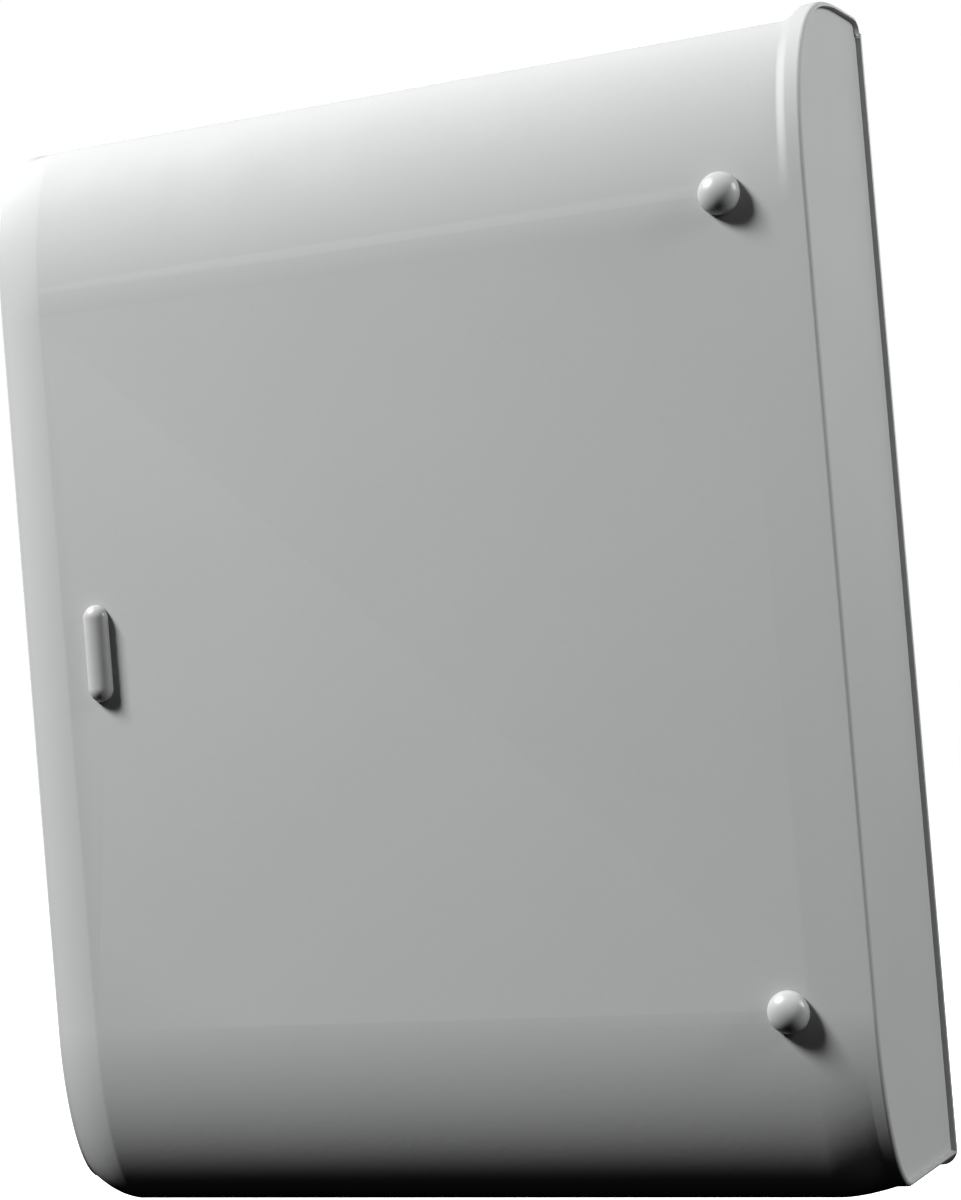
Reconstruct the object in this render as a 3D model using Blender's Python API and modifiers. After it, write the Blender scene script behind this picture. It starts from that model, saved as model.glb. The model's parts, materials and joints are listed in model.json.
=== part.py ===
"""Wall-mounted alarm siren: a bowed grey cover hinged on a flat back plate.

The origin is on the wall, on the back plate's rear face, level with its middle.
+X is the siren's right, +Y points into the wall and +Z is up, all in metres.
"""
import math

import bmesh
import bpy
import numpy as np
from mathutils import Matrix, Vector

# Housing
LEFT_X = -0.1225
RIGHT_X = 0.1175
HEIGHT = 0.300             # of the bowed sheet, and of the back plate
DEPTH = 0.066
SHEET = 0.0015
GAP = 0.0003
BEND_RISE = 0.050          # height of the bowed part at the top and at the bottom
BEND_DEPTH = 0.018         # how far the bowed part falls back
BEND_STEPS = 26
END_RISE = 0.0575          # the two ends stand higher at the top than the sheet between them
END_DEPTH = 0.050
END_SQUARE = 3.0
FOOT_RISE = 0.0475         # and tuck in at the bottom
FOOT_DEPTH = 0.0195
REAR_ROUND = 0.004         # rounding of the ends' rear corners
REAR_STEPS = 6
STRIP_WIDTH = 0.0155       # the sloping strip along the left
STRIP_DROP = 0.0032        # how far it falls back
STRIP_START = 0.4          # slope at its crease, as a share of its average
STRIP_STEPS = 6
LEFT_ROUND = 0.0015
LEFT_STEPS = 3
FLARE = (0.0070, 0.0040)   # where the sheet rises to the right end, measured from that end
FLARE_STEPS = 4
TUCK = 0.012               # over what width the sheet's underside tucks in there
TUCK_STEPS = 3
RIGHT_ROUND = 0.0012
LIP_STEPS = 3
COVER_BACK_Y = -0.004
END_RECESS = 0.0013
END_PANEL = 0.001
PANEL_ROUND = 0.0069       # its rear corner at the top, clear of the sheet's turned corner

# Back plate
PLATE = 0.0035
PLATE_LEFT_X = -0.116
PLATE_FRONT = -PLATE - GAP
RIM_INSET = 0.0025
RIM_HEIGHT = 0.006
RIM_LEFT_X = -0.098
RIM_RIGHT_X = 0.104
WALL_HOLES = ((-0.080, 0.128), (0.080, 0.128), (-0.080, -0.128), (0.080, -0.128))
WALL_HOLE_R = 0.00225

# Hinge of the cover
PIVOT_X = -0.1185
PIVOT_Y = COVER_BACK_Y
BARREL_R = 0.0022
BARREL_BORE_R = 0.0012
BARREL_LENGTH = 0.010
BARREL_Z = 0.095           # middle of the barrel that stays on the plate
PIN_R = 0.0009
PIN_END = 0.0015           # how far the pin stands out at each end
ARM_SETBACK = 0.0004
FOOT = 0.002
FOOT_RIGHT_X = -0.101

# Cover screws
SCREW_X = 0.095
SCREW_PLACES = (("top", 0.1058), ("bottom", -0.1002))
DOME_R = 0.0055
DOME_HEIGHT = 0.0042
SHANK_R = 0.002
SHANK_TIP_Y = -0.007
WASHER_R = 0.0045
WASHER = 0.001
COVER_HOLE_R = 0.0026
POST_R = 0.005
POST_FRONT_Y = -0.014
POST_BORE_END_Y = -0.0055

# Indicator
GUIDE_X = -0.0965
GUIDE_Z = 0.0052
GUIDE_WIDTH = 0.0076
GUIDE_HEIGHT = 0.0272
GUIDE_RISE = 0.003
STEM_WIDTH = 0.0044
STEM_HEIGHT = 0.016
STEM_END_Y = -0.023
LED_TIP_Y = -0.0199

# Circuit board
BOARD_BACK_Y = -0.014
BOARD = 0.0016
BOARD_FACE_Y = BOARD_BACK_Y - BOARD
ON_BOARD_Y = BOARD_FACE_Y - GAP
BOARD_X = (-0.100, -0.010)
BOARD_Z = (-0.030, 0.080)
BOARD_HOLES = ((-0.094, 0.074), (-0.016, 0.074), (-0.094, -0.024), (-0.016, -0.024))
STANDOFF_R = 0.003
STANDOFF_BORE = 0.006
BOARD_SCREW_LENGTH = 0.0062
M3_R = 0.0013
M3_HOLE_R = 0.0016
PAN_HEAD_R = 0.0027
PAN_HEAD = 0.0018
TERMINAL_X = (-0.080, -0.030)
TERMINAL_Z = (-0.027, -0.015)
TERMINAL_HEIGHT = 0.010
TERMINAL_WAYS = 5
WELL_R = 0.0026
WELL_DEPTH = 0.003
ENTRY_HALF_WIDTH = 0.0022
ENTRY_TOP = 0.0045         # from the block's front to the top of a wire entry
ENTRY_FLOOR = 0.0015

# Parts on the board
RELAY_X = (-0.060, -0.041)
RELAY_Z = (0.044, 0.060)
RELAY_HEIGHT = 0.015
CHIP_X = (-0.076, -0.064)
CHIP_Z = (0.014, 0.026)
CHIP_HEIGHT = 0.0016
CAN_X = -0.026
CAN_Z = (0.052, 0.038)
CAN_R = 0.005
CAN_HEIGHT = 0.012
COIL_X = -0.048
COIL_Z = 0.018
COIL_R = 0.0075
COIL_WAIST_R = 0.0062
COIL_HEIGHT = 0.010
COIL_FLANGE = 0.0015
LED_R = 0.0021
LED_FLANGE_R = 0.0026
LED_FLANGE = 0.0008

# Tamper switch
TAMPER_X = -0.025
TAMPER_Z = 0.005
TAMPER_BODY = 0.012
TAMPER_BODY_Y = -0.026
PLUNGER_R = 0.002
PLUNGER_IN_Y = -0.022
PLUNGER_TIP_Y = -0.0641

# Sounder
HORN_X = 0.030
HORN_Y = -0.030
HORN_MOUTH_Z = -0.140
HORN_THROAT_Z = -0.095
HORN_MOUTH_R = 0.022
HORN_THROAT_R = 0.007
HORN_WALL = 0.002
HORN_STEPS = 8
DRIVER_R = 0.022
DRIVER_TOP_Z = -0.068
SLOT_COUNT = 5
SLOT_PITCH = 0.011
SLOT_WIDTH = 0.007
SLOT_Y = (-0.046, -0.014)
DRIVER_NECK_R = 0.010
DRIVER_NECK = 0.004
DRIVER_CHAMFER = 0.002
DRIVER_GROOVE_Z = (0.012, 0.016)
DRIVER_GROOVE = 0.0015
BRACKET_HALF = 0.018

# Battery
BATTERY_X = (0.000, 0.097)
BATTERY_Y = (-0.0471, -0.0041)
BATTERY_Z = (0.022, 0.074)
TRAY = 0.002
STRAP_X = (0.041, 0.056)
STRAP = 0.001
TAB_X = (0.010, 0.087)
TAB_Y = -0.025
TAB_HALF_WIDTH = 0.0024
TAB_HALF = 0.0004
TAB_HEIGHT = 0.0063
TRAY_LIP = 0.005
TRAY_FOOT = 0.016
STRAP_FOOT = 0.013
STRAP_END = 0.006

# Cable entry and leads
ENTRY_X = -0.050
ENTRY_Z = -0.100
ENTRY_R = 0.010
GROMMET_BORE_R = 0.005
GROMMET_FLANGE_R = 0.012
GROMMET_FLANGE = 0.0016
GROMMET_SLEEVE = 0.0033
LEAD_R = 0.0009

COVER_GREY = (0.41, 0.42, 0.42)
STEEL = ((0.55, 0.56, 0.58), 0.35, 1.0)
SCREW_STEEL = ((0.6, 0.6, 0.62), 0.3, 1.0)
THROUGH = 0.010            # how far a cutter runs past what it cuts
TOWARDS_FRONT = (math.pi / 2, 0.0, 0.0)      # turns an object's own +Z to -Y


def clear_scene():
    for old in list(bpy.data.objects):
        bpy.data.objects.remove(old, do_unlink=True)


def new_collection(name):
    collection = bpy.data.collections.new(name)
    bpy.context.scene.collection.children.link(collection)
    return collection


def new_material(name, colour, roughness, metallic=0.0):
    material = bpy.data.materials.new(name)
    material.use_nodes = True
    shader = material.node_tree.nodes["Principled BSDF"]
    shader.inputs["Base Color"].default_value = (*colour, 1.0)
    shader.inputs["Roughness"].default_value = roughness
    shader.inputs["Metallic"].default_value = metallic
    return material


def add_mesh(name, mesh_data, collection, finish=None, smooth=False):
    """Puts a bmesh in the scene as one named object with a material of its own."""
    mesh = bpy.data.meshes.new(name)
    mesh_data.to_mesh(mesh)
    mesh_data.free()
    if smooth:
        mesh.shade_smooth()
        mesh.set_sharp_from_angle(angle=math.radians(35))
    thing = bpy.data.objects.new(name, mesh)
    collection.objects.link(thing)
    if finish:
        mesh.materials.append(new_material(name + "_finish", *finish))
    else:
        thing.hide_render = True
        thing.display_type = "WIRE"
    return thing


def box(name, low, high, collection, finish=None, bevel=0.0):
    """A box between two corners, its edges rounded by a Bevel modifier if asked."""
    low, high = Vector(low), Vector(high)
    data = bmesh.new()
    bmesh.ops.create_cube(data, size=1.0)
    size = high - low
    bmesh.ops.scale(data, vec=size, verts=data.verts)
    thing = add_mesh(name, data, collection, finish)
    thing.location = (low + high) / 2
    if bevel:
        rounding = thing.modifiers.new("Bevel", "BEVEL")
        rounding.width = bevel
        rounding.segments = 2
    return thing


def rod(name, start, end, radius, collection, finish=None, sides=16):
    """A straight cylinder from one point to another."""
    start, end = Vector(start), Vector(end)
    data = bmesh.new()
    bmesh.ops.create_cone(data, cap_ends=True, segments=sides, radius1=radius,
                          radius2=radius, depth=(end - start).length)
    turn = (end - start).to_track_quat("Z", "Y").to_matrix().to_4x4()
    bmesh.ops.transform(data, matrix=turn, verts=data.verts)
    thing = add_mesh(name, data, collection, finish, smooth=True)
    thing.location = (start + end) / 2
    return thing


def turned(name, outline, place, rotation, collection, finish=None, steps=20, closed=False):
    """A turned piece: an outline of (radius, height) points swept about its own Z."""
    data = bmesh.new()
    corners = [data.verts.new((radius, 0.0, height)) for radius, height in outline]
    for first, second in zip(corners, corners[1:]):
        data.edges.new((first, second))
    if closed:
        data.edges.new((corners[-1], corners[0]))
    thing = add_mesh(name, data, collection, finish)
    thing.location = place
    thing.rotation_euler = rotation
    screw = thing.modifiers.new("Screw", "SCREW")
    screw.steps = steps
    screw.render_steps = steps
    screw.use_merge_vertices = True
    screw.merge_threshold = 0.00001
    screw.use_smooth_shade = False
    return thing


def join(target, tool, operation):
    """Joins or cuts the target by another object, which stays as a guide."""
    tool.hide_render = True
    tool.display_type = "WIRE"
    boolean = target.modifiers.new(operation.title(), "BOOLEAN")
    boolean.operation = operation
    boolean.solver = "EXACT"
    boolean.object = tool


def evenly(points, steps):
    """The same line, its points spaced evenly along it."""
    points = np.array(points)
    lengths = np.concatenate(([0.0], np.cumsum(np.hypot(*np.diff(points, axis=0).T))))
    wanted = np.linspace(0.0, lengths[-1], steps + 1)
    return np.column_stack([np.interp(wanted, lengths, points[:, axis]) for axis in (0, 1)])


def bowed_corner(rise, depth, square, inset, back_y, rear_round=0.0):
    """One bowed corner as (y, height), from the rear edge round to the flat front."""
    base = HEIGHT / 2 - BEND_RISE
    fine = 4 * BEND_STEPS
    top = base + rise - inset
    points = [(back_y, top - rear_round)]
    if rear_round:
        for step in range(1, REAR_STEPS + 1):
            angle = math.pi / 2 * step / REAR_STEPS
            points.append((back_y - rear_round * (1 - math.cos(angle)),
                           top - rear_round * (1 - math.sin(angle))))
    for step in range(fine + 1):
        angle = math.pi / 2 * step / fine
        across = math.sin(angle) ** (2 / square)
        upward = max(math.cos(angle), 0.0) ** (2 / square)
        points.append((depth - DEPTH - (depth - inset) * across, base + (rise - inset) * upward))
    return evenly(points, BEND_STEPS)


def housing_outline(inset, back_y, end=0.0, foot=0.0, rear_round=REAR_ROUND):
    """Side outline of the housing as (y, z), from the top rear edge to the bottom one.

    End and foot are how much of the two ends' own shape the top and the bottom take.
    """
    sheet = bowed_corner(BEND_RISE, BEND_DEPTH, 2.0, inset, back_y)
    top = bowed_corner(END_RISE, END_DEPTH, END_SQUARE, inset, back_y, rear_round)
    bottom = bowed_corner(FOOT_RISE, FOOT_DEPTH, 2.0, inset, back_y)
    upper = (1 - end) * sheet + end * top
    lower = (1 - foot) * sheet + foot * bottom
    return [(y, z) for y, z in upper] + [(y, -z) for y, z in lower[::-1]]


def eased(share):
    share = min(max(share, 0.0), 1.0)
    return share * share * (3 - 2 * share)


def tucked(from_end):
    """How much of the right end's shape the underside takes, this far from that end."""
    return eased((TUCK - from_end) / (TUCK - FLARE[1]))


def cover_sections():
    """Cross sections of the cover as (x, inset, end, foot), from left to right."""
    sections = []
    for step in range(LEFT_STEPS):
        angle = math.pi / 2 * step / LEFT_STEPS
        x = LEFT_X + LEFT_ROUND * (1 - math.cos(angle))
        sections.append((x, STRIP_DROP + LEFT_ROUND * (1 - math.sin(angle)), 1.0, 1.0))
    for step in range(STRIP_STEPS + 1):
        out = 1 - step / STRIP_STEPS
        x = LEFT_X + STRIP_WIDTH - out * (STRIP_WIDTH - LEFT_ROUND)
        slope = STRIP_START + (1 - STRIP_START) * out
        sections.append((x, STRIP_DROP * slope * out, out * out, out * out))
    for step in range(TUCK_STEPS):
        from_end = TUCK - (TUCK - FLARE[0]) * step / TUCK_STEPS
        sections.append((RIGHT_X - from_end, 0.0, 0.0, tucked(from_end)))
    for step in range(FLARE_STEPS + 1):
        from_end = FLARE[0] - (FLARE[0] - FLARE[1]) * step / FLARE_STEPS
        share = step / FLARE_STEPS
        sections.append((RIGHT_X - from_end, 0.0, eased(share), tucked(from_end)))
    for step in range(LIP_STEPS + 1):
        angle = math.pi / 2 * step / LIP_STEPS
        x = RIGHT_X - RIGHT_ROUND * (1 - math.sin(angle))
        sections.append((x, RIGHT_ROUND * (1 - math.cos(angle)), 1.0, 1.0))
    return sections


def cover_surface():
    """The cover's outer skin, open at the rear and at the right end."""
    data = bmesh.new()
    rows = []
    for x, inset, end, foot in cover_sections():
        outline = housing_outline(inset, COVER_BACK_Y, end, foot)
        rows.append([data.verts.new((x - PIVOT_X, y - PIVOT_Y, z)) for y, z in outline])
    for near, far in zip(rows, rows[1:]):
        for index in range(len(near) - 1):
            data.faces.new((near[index], far[index], far[index + 1], near[index + 1]))
    bmesh.ops.triangulate(data, faces=data.faces)
    data.faces.new(rows[0])
    bmesh.ops.recalc_face_normals(data, faces=data.faces)
    front = min(data.faces, key=lambda face: face.calc_center_median().y)
    if front.normal.y > 0:
        bmesh.ops.reverse_faces(data, faces=data.faces)
    return data


def make_cover(parts, cutters):
    cover = add_mesh("front_cover", cover_surface(), parts, (COVER_GREY, 0.38), smooth=True)
    cover.location = (PIVOT_X, PIVOT_Y, 0.0)
    shell = cover.modifiers.new("Solidify", "SOLIDIFY")
    shell.thickness = SHEET
    shell.offset = -1.0
    shell.use_even_offset = True
    for side, z in SCREW_PLACES:
        hole = rod("cut_cover_hole_" + side, (SCREW_X, -0.075, z), (SCREW_X, -0.055, z),
                   COVER_HOLE_R, cutters)
        join(cover, hole, "DIFFERENCE")
    margin = GAP
    slot = box("cut_guide_slot",
               (GUIDE_X - STEM_WIDTH / 2 - margin, -0.075, GUIDE_Z - STEM_HEIGHT / 2 - margin),
               (GUIDE_X + STEM_WIDTH / 2 + margin, -0.055, GUIDE_Z + STEM_HEIGHT / 2 + margin),
               cutters)
    join(cover, slot, "DIFFERENCE")
    for index in range(SLOT_COUNT):
        x = HORN_X + (index - (SLOT_COUNT - 1) / 2) * SLOT_PITCH
        sound = box(f"cut_sound_slot_{index + 1}", (x - SLOT_WIDTH / 2, SLOT_Y[0], -0.16),
                    (x + SLOT_WIDTH / 2, SLOT_Y[1], -0.14), cutters)
        join(cover, sound, "DIFFERENCE")
    cover.modifiers.new("Triangulate", "TRIANGULATE")
    return cover


def make_end_panel(parts):
    """The flat panel set back inside the lip at the cover's right end."""
    data = bmesh.new()
    x = RIGHT_X - END_RECESS
    outline = housing_outline(SHEET + GAP, COVER_BACK_Y, 1.0, 1.0, PANEL_ROUND)
    outer = [data.verts.new((x, y, z)) for y, z in outline]
    face = data.faces.new(outer)
    face.normal_update()
    if face.normal.x < 0:
        face.normal_flip()
    panel = add_mesh("right_end_panel", data, parts, (COVER_GREY, 0.4))
    shell = panel.modifiers.new("Solidify", "SOLIDIFY")
    shell.thickness = END_PANEL
    shell.offset = -1.0
    return panel


def make_plate(parts, cutters):
    """The back plate with the upstanding rim that locates the cover."""
    plate = box("back_plate", (PLATE_LEFT_X, -PLATE, -HEIGHT / 2), (RIGHT_X, 0.0, HEIGHT / 2),
                parts, ((0.36, 0.37, 0.37), 0.45))
    ear_top = HEIGHT / 2 - BEND_RISE + END_RISE - REAR_ROUND
    ear = box("join_plate_ear", (RIGHT_X - FLARE[1], -PLATE, HEIGHT / 2 - 0.002),
              (RIGHT_X, 0.0, ear_top), cutters)
    join(plate, ear, "UNION")
    reach = HEIGHT / 2 - RIM_INSET
    rim_y = (-PLATE - RIM_HEIGHT, -PLATE / 2)
    outer = box("join_rim", (RIM_LEFT_X, rim_y[0], -reach), (RIM_RIGHT_X, rim_y[1], reach), cutters)
    inner = box("cut_rim", (RIM_LEFT_X - 0.01, rim_y[0] - 0.01, SHEET - reach),
                (RIM_RIGHT_X - SHEET, rim_y[1] + 0.01, reach - SHEET), cutters)
    join(outer, inner, "DIFFERENCE")
    join(plate, outer, "UNION")
    holes = [(x, z, WALL_HOLE_R) for x, z in WALL_HOLES]
    holes.append((ENTRY_X, ENTRY_Z, ENTRY_R))
    holes += [(x, z, M3_HOLE_R) for x, z in plate_screw_places()]
    for index, (x, z, radius) in enumerate(holes):
        hole = rod(f"cut_plate_hole_{index + 1}", (x, 0.01, z), (x, -0.006, z), radius, cutters)
        join(plate, hole, "DIFFERENCE")
    return plate


def plate_screw_places():
    """Where small screws hold brackets to the plate, as (x, z)."""
    bracket = [(HORN_X - 0.010, DRIVER_TOP_Z + 0.010), (HORN_X + 0.010, DRIVER_TOP_Z + 0.010)]
    tray = [(BATTERY_X[0] + 0.020, BATTERY_Z[0] - 0.010), (BATTERY_X[1] - 0.020, BATTERY_Z[0] - 0.010)]
    strap = [(sum(STRAP_X) / 2, BATTERY_Z[1] + 0.007)]
    return bracket + tray + strap


def make_small_screw(name, x, z, seat_y, length, parts):
    """A pan-head screw that points into the wall, its head resting just off seat_y."""
    head = ((0.0, PAN_HEAD), (0.6 * PAN_HEAD_R, PAN_HEAD), (PAN_HEAD_R, PAN_HEAD / 2),
            (PAN_HEAD_R, 0.0), (M3_R, 0.0), (M3_R, -length), (0.0, -length))
    return turned(name, head, (x, seat_y - GAP, z), TOWARDS_FRONT, parts,
                  SCREW_STEEL, steps=12)


def make_hinge(side, sign, parts, cutters):
    """One hinge: a barrel on the plate, a barrel on the cover and the pin through both."""
    axis_x, axis_y = PIVOT_X, PIVOT_Y
    low = sign * (BARREL_Z - BARREL_LENGTH / 2)
    high = sign * (BARREL_Z + BARREL_LENGTH / 2)
    far = high + sign * (BARREL_LENGTH + GAP)
    fixed = rod("hinge_bracket_" + side, (axis_x, axis_y, low), (axis_x, axis_y, high),
                BARREL_R, parts, STEEL)
    foot = box("join_hinge_foot_" + side, (axis_x, PLATE_FRONT - FOOT, min(low, high)),
               (FOOT_RIGHT_X, PLATE_FRONT, max(low, high)), cutters)
    join(fixed, foot, "UNION")
    near = high + sign * GAP
    moving = rod("hinge_tab_" + side, (axis_x, axis_y, near), (axis_x, axis_y, far),
                 BARREL_R, parts, STEEL)
    arm_x = LEFT_X + SHEET + GAP
    arm = box("join_hinge_arm_" + side, (arm_x, axis_y - BARREL_R, min(near, far)),
              (axis_x, axis_y - ARM_SETBACK, max(near, far)), cutters)
    join(moving, arm, "UNION")
    bore = rod("cut_hinge_bore_" + side, (axis_x, axis_y, low - sign * THROUGH),
               (axis_x, axis_y, far + sign * THROUGH), BARREL_BORE_R, cutters)
    join(fixed, bore, "DIFFERENCE")
    join(moving, bore, "DIFFERENCE")
    pin = rod("hinge_pin_" + side, (axis_x, axis_y, low - sign * PIN_END),
              (axis_x, axis_y, far + sign * PIN_END), PIN_R, parts, STEEL, sides=12)
    return fixed, moving, pin


def make_cover_screw(side, z, parts):
    """A domed captive screw through the cover, with the washer that keeps it there."""
    outline = []
    steps = 6
    for step in range(steps + 1):
        angle = math.pi / 2 * step / steps
        outline.append((DOME_R * math.sin(angle), DOME_HEIGHT * math.cos(angle)))
    head_y = -DEPTH - GAP
    tip = -(SHANK_TIP_Y - head_y)
    outline += [(SHANK_R, 0.0), (SHANK_R, tip + 0.001), (SHANK_R * 0.6, tip), (0.0, tip)]
    screw = turned("cover_screw_" + side, outline, (SCREW_X, head_y, z), TOWARDS_FRONT, parts,
                   ((0.46, 0.47, 0.47), 0.3))
    ring = ((SHANK_R + GAP, WASHER), (WASHER_R, WASHER), (WASHER_R, 0.0), (SHANK_R + GAP, 0.0))
    washer_y = SHEET + 2 * GAP + WASHER - DEPTH
    washer = turned("captive_washer_" + side, ring, (SCREW_X, washer_y, z), TOWARDS_FRONT, parts,
                    ((0.8, 0.8, 0.78), 0.5), closed=True)
    return screw, washer


def make_screw_post(side, z, parts):
    """The post on the plate whose bore takes a cover screw's tip."""
    length = PLATE_FRONT - POST_FRONT_Y
    floor = length - (POST_BORE_END_Y - POST_FRONT_Y)
    bore_r = SHANK_R + 2 * GAP
    outline = ((0.0, floor), (bore_r, floor), (bore_r, length), (POST_R, length),
               (POST_R, 0.0), (0.0, 0.0))
    return turned("screw_post_" + side, outline, (SCREW_X, PLATE_FRONT, z), TOWARDS_FRONT,
                  parts, SCREW_STEEL)


def make_light_guide(parts, cutters):
    """The raised pill on the front and the stem that carries light out to it."""
    data = bmesh.new()
    bmesh.ops.create_uvsphere(data, u_segments=20, v_segments=12, radius=GUIDE_WIDTH / 2)
    stretch = (GUIDE_HEIGHT - GUIDE_WIDTH) / 2
    for corner in data.verts:
        if abs(corner.co.z) > GAP:
            corner.co.z += math.copysign(stretch, corner.co.z)
        corner.co.y *= 2 * GUIDE_RISE / GUIDE_WIDTH
    guide = add_mesh("status_light_guide", data, parts, (COVER_GREY, 0.3), smooth=True)
    seat_y = -DEPTH - GAP
    guide.location = (GUIDE_X, seat_y, GUIDE_Z)
    back = box("cut_guide_back", (GUIDE_X - 0.01, seat_y, GUIDE_Z - 0.02),
               (GUIDE_X + 0.01, seat_y + 0.01, GUIDE_Z + 0.02), cutters)
    join(guide, back, "DIFFERENCE")
    stem = box("join_guide_stem",
               (GUIDE_X - STEM_WIDTH / 2, seat_y - GAP, GUIDE_Z - STEM_HEIGHT / 2),
               (GUIDE_X + STEM_WIDTH / 2, STEM_END_Y, GUIDE_Z + STEM_HEIGHT / 2), cutters)
    join(guide, stem, "UNION")
    return guide


def make_board(parts, cutters):
    """The circuit board on its four standoffs, each with its screw."""
    board = box("circuit_board", (BOARD_X[0], BOARD_FACE_Y, BOARD_Z[0]),
                (BOARD_X[1], BOARD_BACK_Y, BOARD_Z[1]), parts, ((0.02, 0.16, 0.07), 0.4))
    length = PLATE_FRONT - BOARD_BACK_Y - GAP
    floor = length - STANDOFF_BORE
    outline = ((0.0, floor), (M3_HOLE_R, floor), (M3_HOLE_R, length), (STANDOFF_R, length),
               (STANDOFF_R, 0.0), (0.0, 0.0))
    for index, (x, z) in enumerate(BOARD_HOLES):
        hole = rod(f"cut_board_hole_{index + 1}", (x, -0.02, z), (x, -0.01, z), M3_HOLE_R, cutters)
        join(board, hole, "DIFFERENCE")
        turned(f"board_standoff_{index + 1}", outline, (x, PLATE_FRONT, z), TOWARDS_FRONT,
               parts, ((0.75, 0.6, 0.3), 0.3, 1.0), steps=12)
        make_small_screw(f"board_screw_{index + 1}", x, z, BOARD_FACE_Y, BOARD_SCREW_LENGTH, parts)


def make_terminal_block(parts, cutters):
    """The screw terminals along the board's lower edge, with a wire entry for each way."""
    front = ON_BOARD_Y - TERMINAL_HEIGHT
    block = box("terminal_block", (TERMINAL_X[0], front, TERMINAL_Z[0]),
                (TERMINAL_X[1], ON_BOARD_Y, TERMINAL_Z[1]), parts, ((0.03, 0.22, 0.09), 0.45))
    pitch = (TERMINAL_X[1] - TERMINAL_X[0]) / TERMINAL_WAYS
    middle = sum(TERMINAL_Z) / 2
    for index in range(TERMINAL_WAYS):
        x = TERMINAL_X[0] + pitch * (index + 0.5)
        well = rod(f"cut_terminal_well_{index + 1}", (x, front - 0.001, middle),
                   (x, front + WELL_DEPTH, middle), WELL_R, cutters, sides=12)
        join(block, well, "DIFFERENCE")
        for edge, z in (("lower", TERMINAL_Z[0]), ("upper", TERMINAL_Z[1])):
            entry = box(f"cut_wire_entry_{edge}_{index + 1}",
                        (x - ENTRY_HALF_WIDTH, front + ENTRY_TOP, z - WELL_DEPTH),
                        (x + ENTRY_HALF_WIDTH, ON_BOARD_Y - ENTRY_FLOOR, z + WELL_DEPTH), cutters)
            join(block, entry, "DIFFERENCE")
    return block


def make_components(parts):
    """The parts soldered to the board."""
    box("relay", (RELAY_X[0], ON_BOARD_Y - RELAY_HEIGHT, RELAY_Z[0]),
        (RELAY_X[1], ON_BOARD_Y, RELAY_Z[1]), parts, ((0.05, 0.12, 0.4), 0.4), bevel=0.0006)
    box("control_chip", (CHIP_X[0], ON_BOARD_Y - CHIP_HEIGHT, CHIP_Z[0]),
        (CHIP_X[1], ON_BOARD_Y, CHIP_Z[1]), parts, ((0.02, 0.02, 0.02), 0.5), bevel=0.0003)
    can = ((0.0, CAN_HEIGHT), (0.86 * CAN_R, CAN_HEIGHT), (CAN_R, 0.94 * CAN_HEIGHT),
           (CAN_R, 0.21 * CAN_HEIGHT), (0.92 * CAN_R, 0.17 * CAN_HEIGHT),
           (CAN_R, 0.13 * CAN_HEIGHT), (CAN_R, 0.0), (0.0, 0.0))
    for index, z in enumerate(CAN_Z):
        turned(f"capacitor_{index + 1}", can, (CAN_X, ON_BOARD_Y, z), TOWARDS_FRONT, parts,
               ((0.05, 0.05, 0.12), 0.35))
    waist_top = COIL_HEIGHT - COIL_FLANGE
    bobbin = ((0.0, COIL_HEIGHT), (COIL_R, COIL_HEIGHT), (COIL_R, waist_top),
              (COIL_WAIST_R, waist_top), (COIL_WAIST_R, COIL_FLANGE), (COIL_R, COIL_FLANGE),
              (COIL_R, 0.0), (0.0, 0.0))
    turned("boost_coil", bobbin, (COIL_X, ON_BOARD_Y, COIL_Z), TOWARDS_FRONT, parts,
           ((0.45, 0.2, 0.08), 0.35, 0.6))
    height = ON_BOARD_Y - LED_TIP_Y
    lens = ((0.0, height), (0.76 * LED_R, height - 0.24 * LED_R), (LED_R, height - 0.76 * LED_R),
            (LED_R, LED_FLANGE), (LED_FLANGE_R, LED_FLANGE), (LED_FLANGE_R, 0.0), (0.0, 0.0))
    turned("status_led", lens, (GUIDE_X, ON_BOARD_Y, GUIDE_Z), TOWARDS_FRONT, parts,
           ((0.7, 0.05, 0.03), 0.2))


def make_tamper(parts, cutters):
    """The tamper switch and the sprung plunger that feels the inside of the cover."""
    half = TAMPER_BODY / 2
    body = box("tamper_switch", (TAMPER_X - half, TAMPER_BODY_Y, TAMPER_Z - half),
               (TAMPER_X + half, ON_BOARD_Y, TAMPER_Z + half), parts, ((0.03, 0.03, 0.03), 0.5))
    bore = rod("cut_tamper_bore", (TAMPER_X, TAMPER_BODY_Y - 0.002, TAMPER_Z),
               (TAMPER_X, PLUNGER_IN_Y + 0.0035, TAMPER_Z), PLUNGER_R + GAP, cutters)
    join(body, bore, "DIFFERENCE")
    length = PLUNGER_IN_Y - PLUNGER_TIP_Y
    outline = ((0.0, length), (0.0012, length - 0.0004), (PLUNGER_R, length - 0.0014),
               (PLUNGER_R, 0.0), (0.0, 0.0))
    return turned("tamper_plunger", outline, (TAMPER_X, PLUNGER_IN_Y, TAMPER_Z), TOWARDS_FRONT,
                  parts, ((0.85, 0.85, 0.82), 0.4))


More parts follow.
